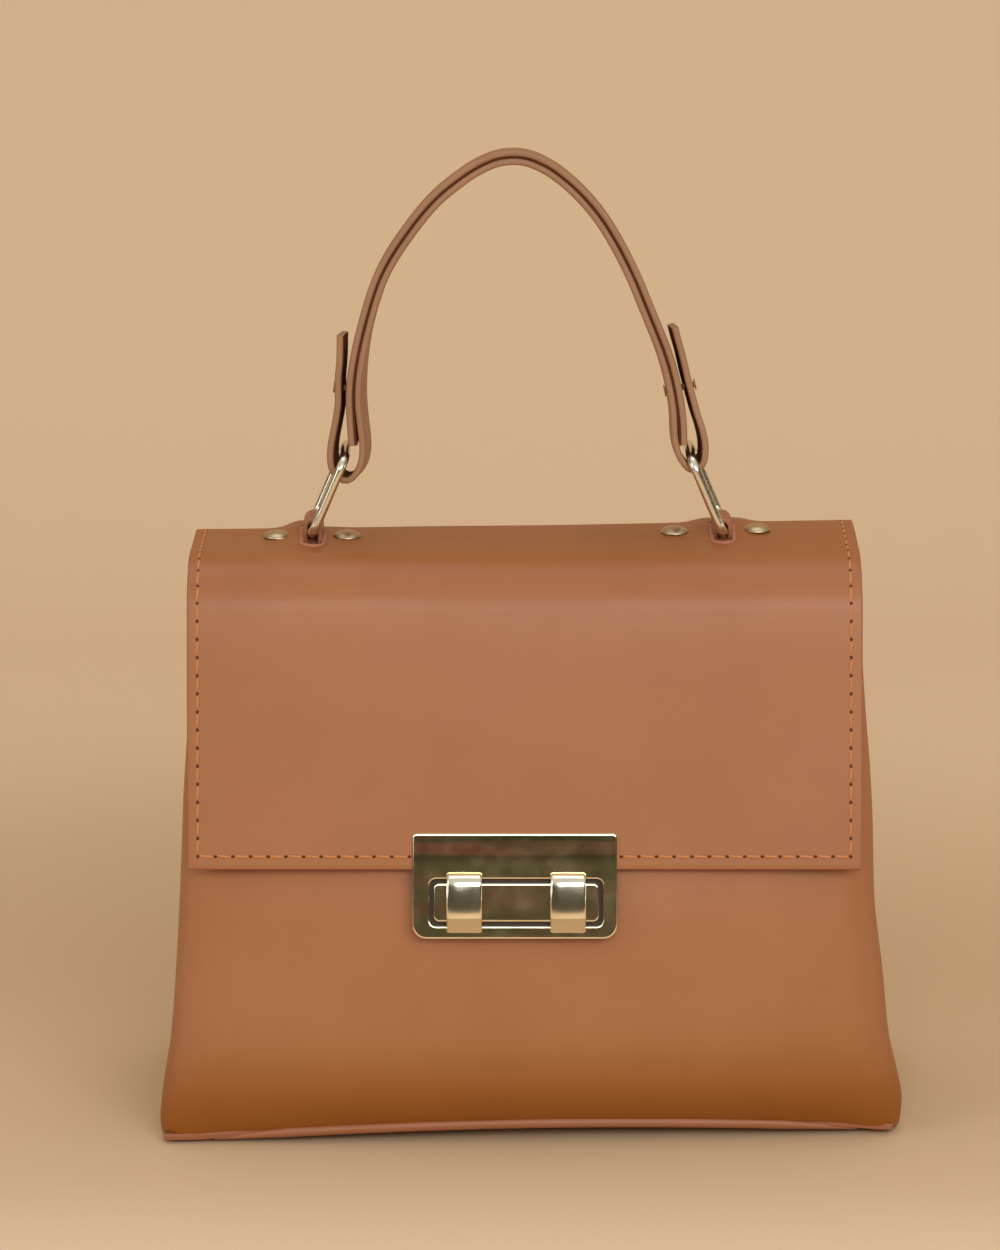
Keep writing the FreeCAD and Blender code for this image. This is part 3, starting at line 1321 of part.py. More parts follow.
for item in doc.Objects:
    if "Invalid" in item.State or "Error" in item.State:
        raise RuntimeError("%s failed: %s" % (item.Name, item.State))
for piece in pieces:
    shape = piece.Shape
    if shape.isNull() or not shape.isValid():
        raise RuntimeError(piece.Label + " has no valid shape")
os.makedirs("parts", exist_ok=True)
for piece in pieces:
    piece.Shape.exportStep("parts/%s.step" % piece.Label)

for title, spot in (("back fold axis", BACK_AXIS), ("front fold axis", FRONT_AXIS),
                    ("left toggle", toggle_place(-1).Base), ("right toggle", toggle_place(1).Base),
                    ("left ring bar", ring_place(-1).Base), ("right ring bar", ring_place(1).Base),
                    ("left ring top", ring_place(-1).multVec(Vector(0, 0, size("ring_reach")))),
                    ("right ring top", ring_place(1).multVec(Vector(0, 0, size("ring_reach")))),
                    ("left strap ring", dring_place(-1).Base), ("right strap ring", dring_place(1).Base)):
    spot = spot + CENTRING
    print("%s: %.4f %.4f %.4f" % (title, spot.x, spot.y, spot.z))
print("%d sub-parts" % len(pieces))
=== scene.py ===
import bpy
import bmesh
import json
import math
import numpy as np
from mathutils import Matrix, Vector


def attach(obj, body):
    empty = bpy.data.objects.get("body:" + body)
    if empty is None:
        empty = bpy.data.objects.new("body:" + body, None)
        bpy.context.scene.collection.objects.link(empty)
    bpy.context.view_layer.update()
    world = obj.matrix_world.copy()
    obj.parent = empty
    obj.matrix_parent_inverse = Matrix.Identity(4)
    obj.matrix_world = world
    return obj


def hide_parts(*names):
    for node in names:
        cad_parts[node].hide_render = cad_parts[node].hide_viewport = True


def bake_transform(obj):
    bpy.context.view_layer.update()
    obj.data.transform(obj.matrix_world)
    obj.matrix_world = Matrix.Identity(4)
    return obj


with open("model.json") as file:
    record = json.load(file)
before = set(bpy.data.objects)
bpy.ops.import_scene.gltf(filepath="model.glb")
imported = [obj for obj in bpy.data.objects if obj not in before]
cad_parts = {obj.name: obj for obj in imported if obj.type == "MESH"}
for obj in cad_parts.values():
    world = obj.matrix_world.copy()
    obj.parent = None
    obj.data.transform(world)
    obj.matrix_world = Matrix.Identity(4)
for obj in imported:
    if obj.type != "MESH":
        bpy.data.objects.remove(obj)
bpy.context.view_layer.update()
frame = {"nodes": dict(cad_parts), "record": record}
scene = bpy.context.scene

# Shared sizes in millimetres, in a frame centred on the body's middle plane

MM = 0.001
SHIFT_Y = 3.5934
TILT = math.radians(13.0)
BACK_TILT = math.radians(12.6)
FLAP_TOP = 174.5
FRONT_FOLD = 17.0
BACK_FOLD = 10.0
FRONT_Y = -13.04
BACK_Y = 17.045
FLAP_THICK = 2.6
FLAP_LEFT = -100.0
FLAP_RIGHT = 98.1
FLAP_DROP = 76.68
BACK_LEAF = 26.56
HARD_X = -2.9
HARD_Y = 6.0
LOCK_X = -3.85
TAB_HALF = 61.15
PIVOT_Z = 177.7
LEAN = math.radians(7.0)
RING_REACH = 25.1
RING_LEAN = math.asin((TAB_HALF - 51.31) / RING_REACH)
RING_SEAT = 19.495
RING_HALF = 12.0
RING_CORNER = 4.2
LOOP_TOP = 181.55
WIRE = 1.3
SHOWN_WIRE = 1.42
SIDES = (("left", -1), ("right", 1))


# Mesh helpers

BEVEL_ANGLE = 50.0
BEVEL_SEGMENTS = 3
SOFT_ANGLE = 60.0
SHEET_ANGLE = 40.0
SECTION_STEPS = 4
OUTLINE_STEPS = 8
LEVEL_PLAY = 0.05


def to_world(points):
    moved = np.array(points, float).reshape(-1, 3).copy()
    moved[:, 1] += SHIFT_Y
    return moved * MM


def smooth_faces(mesh, angle):
    """Smooth shading that stops at edges sharper than the angle."""
    for polygon in mesh.polygons:
        polygon.use_smooth = True
    mesh.set_sharp_from_angle(angle=math.radians(angle))


def add_object(name, data):
    thing = bpy.data.objects.new(name, data)
    scene.collection.objects.link(thing)
    return thing


def make_object(name, points, faces, materials, smooth_angle, face_slots=None, in_metres=False):
    mesh = bpy.data.meshes.new(name)
    mesh.from_pydata(np.array(points) if in_metres else to_world(points), [], [list(f) for f in faces])
    mesh.validate()
    for material in materials:
        mesh.materials.append(material)
    if face_slots is not None:
        mesh.polygons.foreach_set("material_index", np.array(face_slots, np.int32))
    work = bmesh.new()
    work.from_mesh(mesh)
    bmesh.ops.remove_doubles(work, verts=work.verts, dist=1e-7)
    bmesh.ops.recalc_face_normals(work, faces=work.faces)
    work.to_mesh(mesh)
    work.free()
    smooth_faces(mesh, smooth_angle)
    return add_object(name, mesh)


def grid_normals(grid):
    normal = np.cross(np.gradient(grid, axis=0), np.gradient(grid, axis=1))
    return normal / np.maximum(np.linalg.norm(normal, axis=2, keepdims=True), 1e-9)


def sheet_solid(name, grid, thick, materials, bevel, keep=None, inner=None, square_at=None):
    """Closed sheet from a grid of outside points; slots 0, 1, 2 are outside, edge and inside."""
    grid = np.array(grid, float)
    rows, cols = grid.shape[:2]
    if inner is None:
        inner = grid - grid_normals(grid) * thick
    if keep is None:
        keep = np.ones((rows - 1, cols - 1), bool)
    points = np.concatenate([grid.reshape(-1, 3), inner.reshape(-1, 3)])
    half = rows * cols
    faces, slots = [], []
    for r in range(rows - 1):
        for c in range(cols - 1):
            if not keep[r, c]:
                continue
            a, b, d, e = r * cols + c, r * cols + c + 1, (r + 1) * cols + c + 1, (r + 1) * cols + c
            faces += [(a, b, d, e), (half + a, half + e, half + d, half + b)]
            slots += [0, 2]
            for near, far, other_r, other_c in ((a, b, r - 1, c), (b, d, r, c + 1), (d, e, r + 1, c),
                                                (e, a, r, c - 1)):
                inside = 0 <= other_r < rows - 1 and 0 <= other_c < cols - 1 and keep[other_r, other_c]
                if not inside:
                    faces.append((near, half + near, half + far, far))
                    slots.append(1)
    piece = make_object(name, points, faces, materials, SHEET_ANGLE, slots)
    if bevel:
        round_edges(piece, bevel, square_at)
    return piece


def round_edges(piece, width, square_at=None):
    """Rounds every sharp edge of a closed mesh, but for those near the level y = square_at."""
    work = bmesh.new()
    work.from_mesh(piece.data)
    limit = math.radians(BEVEL_ANGLE)
    sharp = [e for e in work.edges if len(e.link_faces) == 2 and e.calc_face_angle(0) > limit]
    if square_at is not None:
        level = (square_at + SHIFT_Y) * MM
        sharp = [e for e in sharp if any(abs(v.co.y - level) > LEVEL_PLAY * MM for v in e.verts)]
    bmesh.ops.bevel(work, geom=sharp, offset=width * MM, segments=BEVEL_SEGMENTS, profile=0.5,
                    affect="EDGES", clamp_overlap=True, material=1)
    work.to_mesh(piece.data)
    work.free()
    smooth_faces(piece.data, SOFT_ANGLE)


def band_faces(loops, count, base=0, closed=False):
    """Faces between loops of count points each; every loop closes on itself."""
    faces = []
    for m in range(loops if closed else loops - 1):
        low, high = base + m * count, base + (m + 1) % loops * count
        for k in range(count):
            i = (k + 1) % count
            faces.append((low + k, low + i, high + i, high + k))
    return faces


def sweep(name, path, section, materials, up, closed=False, slots=None):
    """Sweeps a section of (side, up) pairs along a path, with up held near one direction."""
    path = np.array(path, float)
    count = len(path)
    ahead = np.roll(path, -1, axis=0) - path
    back = path - np.roll(path, 1, axis=0)
    tangent = ahead + back
    if not closed:
        tangent[0] = ahead[0]
        tangent[-1] = back[-1]
    tangent /= np.linalg.norm(tangent, axis=1, keepdims=True)
    up = np.array(up, float)
    if up.ndim == 1:
        up = np.repeat(up[None], count, axis=0)
    side = np.cross(tangent, up)
    side /= np.linalg.norm(side, axis=1, keepdims=True)
    lift = np.cross(side, tangent)
    sections = [section] * count if np.ndim(section[0]) == 1 else section
    n = len(sections[0])
    points = [path[k] + side[k] * s + lift[k] * u for k in range(count) for s, u in sections[k]]
    faces = band_faces(count, n, closed=closed)
    face_slots = [slots[k % n] if slots else 0 for k in range(len(faces))]
    if not closed:
        faces += [tuple(range(n))[::-1], tuple((count - 1) * n + j for j in range(n))]
        face_slots += [1 if slots else 0] * 2
    return make_object(name, points, faces, materials, SOFT_ANGLE, face_slots)


def circle(radius, count):
    return [(radius * math.cos(2 * math.pi * k / count), radius * math.sin(2 * math.pi * k / count))
            for k in range(count)]


def rounded_box(half, radii, steps=SECTION_STEPS, middle=(0.0, 0.0)):
    """Rounded rectangle points; radii are for the upper right, upper left, lower left and lower right."""
    points = []
    corners = ((1, 1, 0), (-1, 1, 90), (-1, -1, 180), (1, -1, 270))
    for (sx, sy, start), radius in zip(corners, np.broadcast_to(radii, 4)):
        cx = middle[0] + sx * half[0] - sx * radius
        cy = middle[1] + sy * half[1] - sy * radius
        for k in range(steps + 1):
            turn = math.radians(start + 90 * k / steps)
            points.append((cx + radius * math.cos(turn), cy + radius * math.sin(turn)))
    return points


def hermite(u, step, start, end, leave, arrive):
    """Cubic from start to end over one step, with its slopes at both; u runs from 0 to 1."""
    return ((2 * u ** 3 - 3 * u ** 2 + 1) * start + (u ** 3 - 2 * u ** 2 + u) * step * leave
            + (3 * u ** 2 - 2 * u ** 3) * end + (u ** 3 - u ** 2) * step * arrive)


def spline(points, count):
    """Smooth run through points, by arc length, as an array."""
    points = np.array(points, float)
    knots = np.concatenate([[0], np.cumsum(np.linalg.norm(np.diff(points, axis=0), axis=1))])
    slopes = np.zeros_like(points)
    for k in range(len(points)):
        lo, hi = max(k - 1, 0), min(k + 1, len(points) - 1)
        slopes[k] = (points[hi] - points[lo]) / (knots[hi] - knots[lo])
    out = []
    for t in np.linspace(0, knots[-1], count):
        k = min(max(int(np.searchsorted(knots, t)) - 1, 0), len(points) - 2)
        h = knots[k + 1] - knots[k]
        out.append(hermite((t - knots[k]) / h, h, points[k], points[k + 1], slopes[k], slopes[k + 1]))
    return np.array(out)


def table(rows):
    """Smooth function through (position, value) rows."""
    rows = np.array(rows, float)
    x, y = rows[:, 0], rows[:, 1]
    step = np.diff(x)
    rise = np.diff(y) / step
    slope = np.zeros(len(x))
    slope[0], slope[-1] = rise[0], rise[-1]
    for k in range(1, len(x) - 1):
        if rise[k - 1] * rise[k] > 0:
            w1, w2 = 2 * step[k] + step[k - 1], step[k] + 2 * step[k - 1]
            slope[k] = (w1 + w2) / (w1 / rise[k - 1] + w2 / rise[k])

    def value(t):
        t = np.clip(np.asarray(t, float), x[0], x[-1])
        k = np.clip(np.searchsorted(x, t) - 1, 0, len(x) - 2)
        return hermite((t - x[k]) / step[k], step[k], y[k], y[k + 1], slope[k], slope[k + 1])
    return value


def lathe(name, profile, place, materials, count):
    """Turns a profile of (radius, height) pairs about a frame's Z axis; the frame is in millimetres."""
    points = [place @ Vector((x, y, z)) for r, z in profile for x, y in circle(r, count)]
    return make_object(name, points, band_faces(len(profile), count), materials, SHEET_ANGLE)


# Materials

BUMP_DEPTH = 0.00012
WEAVE_DEPTH = 0.0002
TONE_SCALE, PATCH_SCALE = 26.0, 60.0
PEBBLE_SCALE, GRAIN_SCALE, WEAVE_SCALE, SMUDGE_SCALE = 1900.0, 900.0, 1400.0, 140.0


def srgb(r, g, b):
    return tuple(((c / 255 + 0.055) / 1.055) ** 2.4 if c > 10 else c / 255 / 12.92 for c in (r, g, b))


def add_node(tree, kind, values=(), **settings):
    """New shader node with values for its inputs and its own settings."""
    node = tree.nodes.new("ShaderNode" + kind)
    for setting, value in settings.items():
        setattr(node, setting, value)
    for socket, value in dict(values).items():
        node.inputs[socket].default_value = value
    return node


def link(tree, source, outlet, target, inlet):
    tree.links.new(source.outputs[outlet], target.inputs[inlet])


def principled(name, color, rough, metallic=0.0, specular=0.5):
    material = bpy.data.materials.new(name)
    material.use_nodes = True
    shader = material.node_tree.nodes["Principled BSDF"]
    for socket, value in (("Base Color", (*color, 1.0)), ("Roughness", rough), ("Metallic", metallic),
                          ("Specular IOR Level", specular)):
        shader.inputs[socket].default_value = value
    return material, material.node_tree, shader


def object_texture(tree, kind, values):
    coord = add_node(tree, "TexCoord")
    texture = add_node(tree, kind, values)
    link(tree, coord, "Object", texture, "Vector")
    return texture


def object_noise(tree, scale, detail=3.0, roughness=0.5):
    return object_texture(tree, "TexNoise", {"Scale": scale, "Detail": detail, "Roughness": roughness})


def object_level(tree, axis, low, high):
    """Runs from 0 to 1 between two levels of an object axis, in metres."""
    coord = add_node(tree, "TexCoord")
    split = add_node(tree, "SeparateXYZ")
    level = add_node(tree, "MapRange", {"From Min": low, "From Max": high})
    link(tree, coord, "Object", split, "Vector")
    link(tree, split, axis, level, "Value")
    return level


def color_ramp(tree, stops):
    """Colour ramp through (position, colour) stops; the two outer ones come first."""
    ramp = add_node(tree, "ValToRGB")
    for k, (spot, color) in enumerate(stops):
        stop = ramp.color_ramp.elements[k] if k < 2 else ramp.color_ramp.elements.new(spot)
        stop.position = spot
        stop.color = (*color, 1)
    return ramp


def add_bump(tree, shader, source, outlet, strength, depth):
    bump = add_node(tree, "Bump", {"Strength": strength, "Distance": depth})
    link(tree, source, outlet, bump, "Height")
    link(tree, bump, "Normal", shader, "Normal")


def vary_roughness(tree, shader, noise, values):
    level = add_node(tree, "MapRange", values)
    link(tree, noise, "Fac", level, "Value")
    link(tree, level, "Result", shader, "Roughness")


def leather(name, color, dark, rough=0.44, grain=0.10, specular=0.5, painted_shade=None, painted_shade_from=0.042,
            painted_shade_to=0.006):
    """Smooth pigmented leather with a fine grain and soft patches of tone, and painted shade where asked:
    a darker colour multiplied in from one level to another, standing in for shade that falls there."""
    material, tree, shader = principled(name, color, rough, specular=specular)
    tone = object_noise(tree, TONE_SCALE, 4.0, 0.55)
    ramp = color_ramp(tree, ((0.30, dark), (0.72, color)))
    link(tree, tone, "Fac", ramp, "Fac")
    link(tree, ramp, "Color", shader, "Base Color")
    # Painted shade: the base colour is multiplied darker between the two levels.
    if painted_shade:
        level = object_level(tree, "Z", min(painted_shade_from, painted_shade_to), max(painted_shade_from, painted_shade_to))
        level.interpolation_type = "SMOOTHSTEP"
        if painted_shade_to < painted_shade_from:
            level.inputs["To Min"].default_value = 1.0
            level.inputs["To Max"].default_value = 0.0
        shade_mix = add_node(tree, "Mix", data_type="RGBA", blend_type="MULTIPLY")
        shade_mix.inputs[7].default_value = (*painted_shade, 1)
        link(tree, level, "Result", shade_mix, 0)
        link(tree, ramp, "Color", shade_mix, 6)
        link(tree, shade_mix, 2, shader, "Base Color")
    pebble = object_texture(tree, "TexVoronoi", {"Scale": PEBBLE_SCALE})
    fine = object_noise(tree, GRAIN_SCALE, 4.0, 0.6)
    add = add_node(tree, "Math", operation="ADD")
    link(tree, pebble, "Distance", add, 0)
    link(tree, fine, "Fac", add, 1)
    add_bump(tree, shader, add, "Value", grain, BUMP_DEPTH)
    patches = object_noise(tree, PATCH_SCALE)
    vary_roughness(tree, shader, patches, {"To Min": rough - 0.05, "To Max": rough + 0.06})
    return material


# Painted reflection: colours of the studio as a flat polished face mirrors them, as stripes from the lower
# height to the upper.
PAINTED_REFLECTION_TONES = ((0.0, (1.0, 0.93, 0.70)), (0.70, (0.98, 0.90, 0.66)), (0.79, (0.52, 0.48, 0.36)),
              (0.83, (1.0, 0.72, 0.58)), (0.92, (1.0, 0.68, 0.54)), (0.95, (0.44, 0.46, 0.34)),
              (1.0, (0.52, 0.53, 0.38)))
REFLECTION_CLOUD_SCALE = (26.0, 60.0, 190.0)
SMUDGE = 0.06


def metal(name, color, rough, painted_reflection_heights=None):
    """Polished plated metal with faint smudges in its roughness, and where asked a painted reflection: level
    stripes of light and dark colour between two heights, wavered by noise, standing in for the studio
    mirrored in the face.
    """
    material, tree, shader = principled(name, color, rough, metallic=1.0)
    vary_roughness(tree, shader, object_noise(tree, SMUDGE_SCALE, 5.0, 0.6),
                   {"From Min": 0.35, "From Max": 0.75, "To Min": rough, "To Max": rough + SMUDGE})
    # Painted reflection: stripes of colour by height, wavered by stretched noise, multiplied into the base
    # colour.
    if painted_reflection_heights:
        clouds = add_node(tree, "TexNoise", {"Scale": 1.0, "Detail": 5.0})
        squeeze = object_texture(tree, "Mapping", {"Scale": REFLECTION_CLOUD_SCALE})
        link(tree, squeeze, "Vector", clouds, "Vector")
        drift = add_node(tree, "Math", {1: 0.10}, operation="MULTIPLY_ADD")
        link(tree, clouds, "Fac", drift, 0)
        link(tree, object_level(tree, "Z", *painted_reflection_heights), "Result", drift, 2)
        reflection_tones = color_ramp(tree, PAINTED_REFLECTION_TONES)
        link(tree, drift, "Value", reflection_tones, "Fac")
        r, g, b = color
        low, high = (r * 0.72, g * 0.82, b * 0.72), (r * 1.12, g * 0.86, b * 0.92)
        reflection_cloud_tones = color_ramp(tree, ((0.36, low), (0.62, high), (0.5, color)))
        link(tree, clouds, "Fac", reflection_cloud_tones, "Fac")
        reflection_tint = add_node(tree, "Mix", data_type="RGBA", blend_type="MULTIPLY")
        reflection_tint.inputs[0].default_value = 1.0
        link(tree, reflection_cloud_tones, "Color", reflection_tint, 6)
        link(tree, reflection_tones, "Color", reflection_tint, 7)
        link(tree, reflection_tint, 2, shader, "Base Color")
    return material


def cloth(name, color):
    material, tree, shader = principled(name, color, 0.9, specular=0.2)
    add_bump(tree, shader, object_noise(tree, WEAVE_SCALE, 2.0), "Fac", 0.5, WEAVE_DEPTH)
    return material


# Flap leather with painted shade: from 0.158 m up its top is multiplied darker, as the top faces away from
# the lamps.
SKIN = leather("tan_leather", srgb(160, 101, 54), srgb(153, 95, 49), rough=0.46, painted_shade=(0.94, 0.83, 0.70),
               painted_shade_from=0.158, painted_shade_to=0.1725)
# Body leather with painted shade: below 0.042 m it is multiplied to a darker, more saturated orange, as the
# lower belly faces down to the floor.
BELLY_SKIN = leather("belly_leather", srgb(166, 108, 65), srgb(160, 102, 59), rough=0.46,
                     painted_shade=(0.80, 0.63, 0.12))
SKIN_EDGE = leather("painted_edge", srgb(158, 98, 66), srgb(150, 91, 60), rough=0.5, grain=0.05)
PIPING = leather("piping_leather", srgb(160, 101, 64), srgb(152, 93, 57), rough=0.5)
RIM = leather("slot_rim", srgb(176, 112, 84), srgb(166, 102, 74), rough=0.5, grain=0.05)
INSIDE = leather("lining_leather", srgb(116, 70, 40), srgb(108, 64, 36), rough=0.7)
STRAP = leather("strap_leather", srgb(164, 108, 66), srgb(154, 99, 59), rough=0.5)
STRAP_EDGE = leather("strap_edge", srgb(156, 113, 80), srgb(140, 99, 66), rough=0.55, grain=0.05)
STRAP_BACK = leather("strap_flesh_side", srgb(118, 66, 40), srgb(102, 56, 33), rough=0.85, grain=0.2,
                     specular=0.1)
CORE = leather("strap_core", srgb(104, 58, 36), srgb(90, 50, 30), rough=0.8, specular=0.1)
BRASS = metal("pale_brass", (0.86, 0.79, 0.60), 0.10)
CAP_BRASS = metal("cap_brass", (0.52, 0.41, 0.26), 0.36)
# Lock brass with painted reflection stripes across the plate's height.
PLATE = metal("lock_brass", (0.90, 0.79, 0.58), 0.10, painted_reflection_heights=(0.0685, 0.0987))
BRASS_DARK = metal("ring_brass", (0.74, 0.69, 0.55), 0.20)
STEEL = metal("inner_steel", (0.055, 0.042, 0.032), 0.45)
THREAD = principled("thread", srgb(192, 124, 72), 0.75, specular=0.3)[0]
# Painted shade: a dark disc stands in for the shade inside each stitch hole.
HOLE_SHADE = principled("stitch_hole_shade", srgb(96, 50, 22), 0.9, specular=0.1)[0]
LINING = cloth("lining_cloth", srgb(150, 118, 88))
FOAM = principled("foam", srgb(190, 188, 180), 0.95, specular=0.1)[0]
BOARD = principled("board", srgb(92, 84, 76), 0.8, specular=0.2)[0]
BODY_LAYERS = [BELLY_SKIN, SKIN_EDGE, INSIDE]
FLAP_LAYERS = [SKIN, SKIN_EDGE, INSIDE]


# Flap: one leather run from the back leaf, over the top, to the front edge

FRONT_TURN = math.pi / 2 - TILT
BACK_TURN = math.pi / 2 - BACK_TILT
TOP_FLAT = BACK_Y - FRONT_Y
RUNS = (BACK_LEAF, BACK_FOLD * BACK_TURN, TOP_FLAT, FRONT_FOLD * FRONT_TURN, FLAP_DROP)
STARTS = np.concatenate([[0], np.cumsum(RUNS)])
FLAP_BEVEL = 0.55
BLEND_MARGIN = 0.5


def fold_point(side, y, radius, a, past=0.0):
    """Point and normal on a fold at angle a from the top, or on the straight leather past it."""
    return (y + side * radius * math.sin(a) + side * past * math.cos(a),
            FLAP_TOP - radius + radius * math.cos(a) - past * math.sin(a), side * math.sin(a), math.cos(a))


def flap_point(s):
    """Outside point (y, z) and outward normal at run s, counted from the back leaf's lower edge."""
    if s < STARTS[1]:
        return fold_point(1, BACK_Y, BACK_FOLD, BACK_TURN, STARTS[1] - s)
    if s < STARTS[2]:
        return fold_point(1, BACK_Y, BACK_FOLD, BACK_TURN - (s - STARTS[1]) / BACK_FOLD)
    if s < STARTS[3]:
        return BACK_Y - (s - STARTS[2]), FLAP_TOP, 0.0, 1.0
    if s < STARTS[4]:
        return fold_point(-1, FRONT_Y, FRONT_FOLD, (s - STARTS[3]) / FRONT_FOLD)
    return fold_point(-1, FRONT_Y, FRONT_FOLD, FRONT_TURN, s - STARTS[4])


# Each ring tab's middle, and how far the leather bulges at its left and at its right
TABS = ((HARD_X - TAB_HALF, 3.0, 0.5), (HARD_X + TAB_HALF, 1.9, 1.9))
TAB_X = [row[0] for row in TABS]
TAB_PLACES = tuple(zip(("left", "right"), TAB_X))
BULGE_HALF, BULGE_FADE = 4.5, 4.6
BULGE_BEHIND, BULGE_DEPTH = 7.0, 11.0
DROP_CROWN, DROP_SAG = 0.45, 0.1
CROWN_HALF, CROWN_RUN = 98.0, 60.0
CUSHION = 1.3
CUSHION_LEAD, CUSHION_SWELL, CUSHION_RUN = 6.0, 9.0, 82.0
RIPPLE = 0.18
RIPPLE_X, RIPPLE_RUN = 23.0, 17.0
RISE_FROM, RISE_SPAN = -18.0, 24.0
TOP_RISE = table(((-100, -0.65), (-60, -0.2), (-20, 0.35), (0, 0.5), (45, 1.3), (98, 2.2)))


def flap_swell(x, y, s):
    """How far the leather stands out from its plain run."""
    swell = 0.0
    if STARTS[1] < s < STARTS[4]:
        for tab_x, left_bulge, right_bulge in TABS:
            bulge = left_bulge if x < tab_x else right_bulge
            beside = max(abs(x - tab_x) - BULGE_HALF, 0.0) / BULGE_FADE
            behind = (y - HARD_Y - BULGE_BEHIND) / BULGE_DEPTH
            swell += bulge * math.exp(-beside ** 2) * math.exp(-behind ** 2)
        swell += TOP_RISE(x) * min(max((y - RISE_FROM) / RISE_SPAN, 0), 1)
    if s > STARTS[3]:
        down = min((s - STARTS[3]) / CROWN_RUN, 1.0)
        swell += down * (DROP_CROWN * math.cos(x / CROWN_HALF * math.pi / 2) - DROP_SAG)
        past = max(s - STARTS[4] + CUSHION_LEAD, 0.0)
        swell += CUSHION * (1 - math.exp(-past / CUSHION_SWELL)) * max(1 - past / CUSHION_RUN, 0.0)
        swell += RIPPLE * math.sin(x / RIPPLE_X + s / RIPPLE_RUN)
    return swell


def flap_at(x, s, lift=0.0):
    """Point of the flap's outside at run s, lifted along its normal where asked."""
    y, z, ny, nz = flap_point(s)
    out = flap_swell(x, y, s) + lift
    return (x, y + ny * out, z + nz * out)


def flap_normal(s):
    return np.array((0.0, *flap_point(s)[2:]))


SLOT_HALF_X = 3.4
SLOT_LOW_Y = HARD_Y - 12.0
SLOT_HIGH_Y = HARD_Y + 6.5
SLOT_CORNER_X = 1.7
SLOT_CORNER_Y = 1.2
SPLIT_Y = -13.0
FLAP_COLUMNS = 84
ROW_STEP = 1.7
COLUMN_REACH, ROW_REACH = 1.0, 0.5


def run_at_y(y):
    return STARTS[2] + BACK_Y - y


def merged(values, marks, reach):
    """Even values with exact marks put in, and neighbours closer than reach dropped."""
    kept = [v for v in values if all(abs(v - m) > reach for m in marks)]
    return np.array(sorted(kept + list(marks)))


def flap_columns():
    steps = (-SLOT_HALF_X, -SLOT_CORNER_X, SLOT_CORNER_X, SLOT_HALF_X)
    marks = [FLAP_LEFT, FLAP_RIGHT] + [tab_x + step for tab_x in TAB_X for step in steps]
    return merged(np.linspace(FLAP_LEFT, FLAP_RIGHT, FLAP_COLUMNS), marks, COLUMN_REACH)


def flap_rows(low, high):
    ends = (SLOT_LOW_Y, SLOT_HIGH_Y, SLOT_LOW_Y + SLOT_CORNER_Y, SLOT_HIGH_Y - SLOT_CORNER_Y)
    marks = [low, high] + [run for run in map(run_at_y, ends) if low + ROW_REACH < run < high - ROW_REACH]
    return merged(np.linspace(low, high, int((high - low) / ROW_STEP) + 1), marks, ROW_REACH)


def flap_strip(name, low, high):
    columns = flap_columns()
    rows = flap_rows(low, high)
    grid = [[flap_at(x, s) for x in columns] for s in rows]
    inner = [[flap_at(x, s, -FLAP_THICK) for x in columns] for s in rows]
    keep = np.ones((len(rows) - 1, len(columns) - 1), bool)
    for r in range(len(rows) - 1):
        for c in range(len(columns) - 1):
            x = (columns[c] + columns[c + 1]) / 2
            y = BACK_Y - ((rows[r] + rows[r + 1]) / 2 - STARTS[2])
            for tab_x in TAB_X:
                if abs(x - tab_x) < SLOT_HALF_X and SLOT_LOW_Y < y < SLOT_HIGH_Y:
                    at_end = not SLOT_LOW_Y + SLOT_CORNER_Y < y < SLOT_HIGH_Y - SLOT_CORNER_Y
                    keep[r, c] = at_end and abs(x - tab_x) > SLOT_CORNER_X
    return sheet_solid(name, grid, FLAP_THICK, FLAP_LAYERS, FLAP_BEVEL, keep, np.array(inner), SPLIT_Y)


SPLIT_RUN = run_at_y(SPLIT_Y)
back_skin = flap_strip("flap_skin_back", 0.0, SPLIT_RUN)
front_skin = flap_strip("flap_skin_front", SPLIT_RUN, STARTS[5])


def blend_over(piece, fold):
    """Finds the flap's points at both ends of the fold that starts at STARTS[fold], without using them, and
    bakes the piece's placement into its mesh.
    """
    low, high = (flap_at(0.0, run) for run in (STARTS[fold] + BLEND_MARGIN, STARTS[fold + 1] - BLEND_MARGIN))
    tuple(to_world(low)[0])
    tuple(to_world(high)[0])
    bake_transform(piece)


blend_over(back_skin, 1)
blend_over(front_skin, 3)
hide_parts("flap_back_leaf", "flap_top")
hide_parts("flap_front", "flap_front_lining")


# Stitches along the flap's sides and lower edge

THREAD_SECTIONS = ((0.10, 0.10, -0.25), (0.17, 0.30, -0.02), (0.32, 0.36, 0.14), (0.55, 0.37, 0.18),
                   (0.76, 0.34, 0.10), (0.88, 0.24, -0.08), (0.93, 0.10, -0.28))
THREAD_SIDES = 6
THREAD_FLAT = 0.8
THREAD_SLANT = 0.35
HOLE_SIDES = 8
HOLE_ALONG, HOLE_ACROSS, HOLE_LIFT, HOLE_SUNK = 0.58, 0.48, 0.035, 0.012


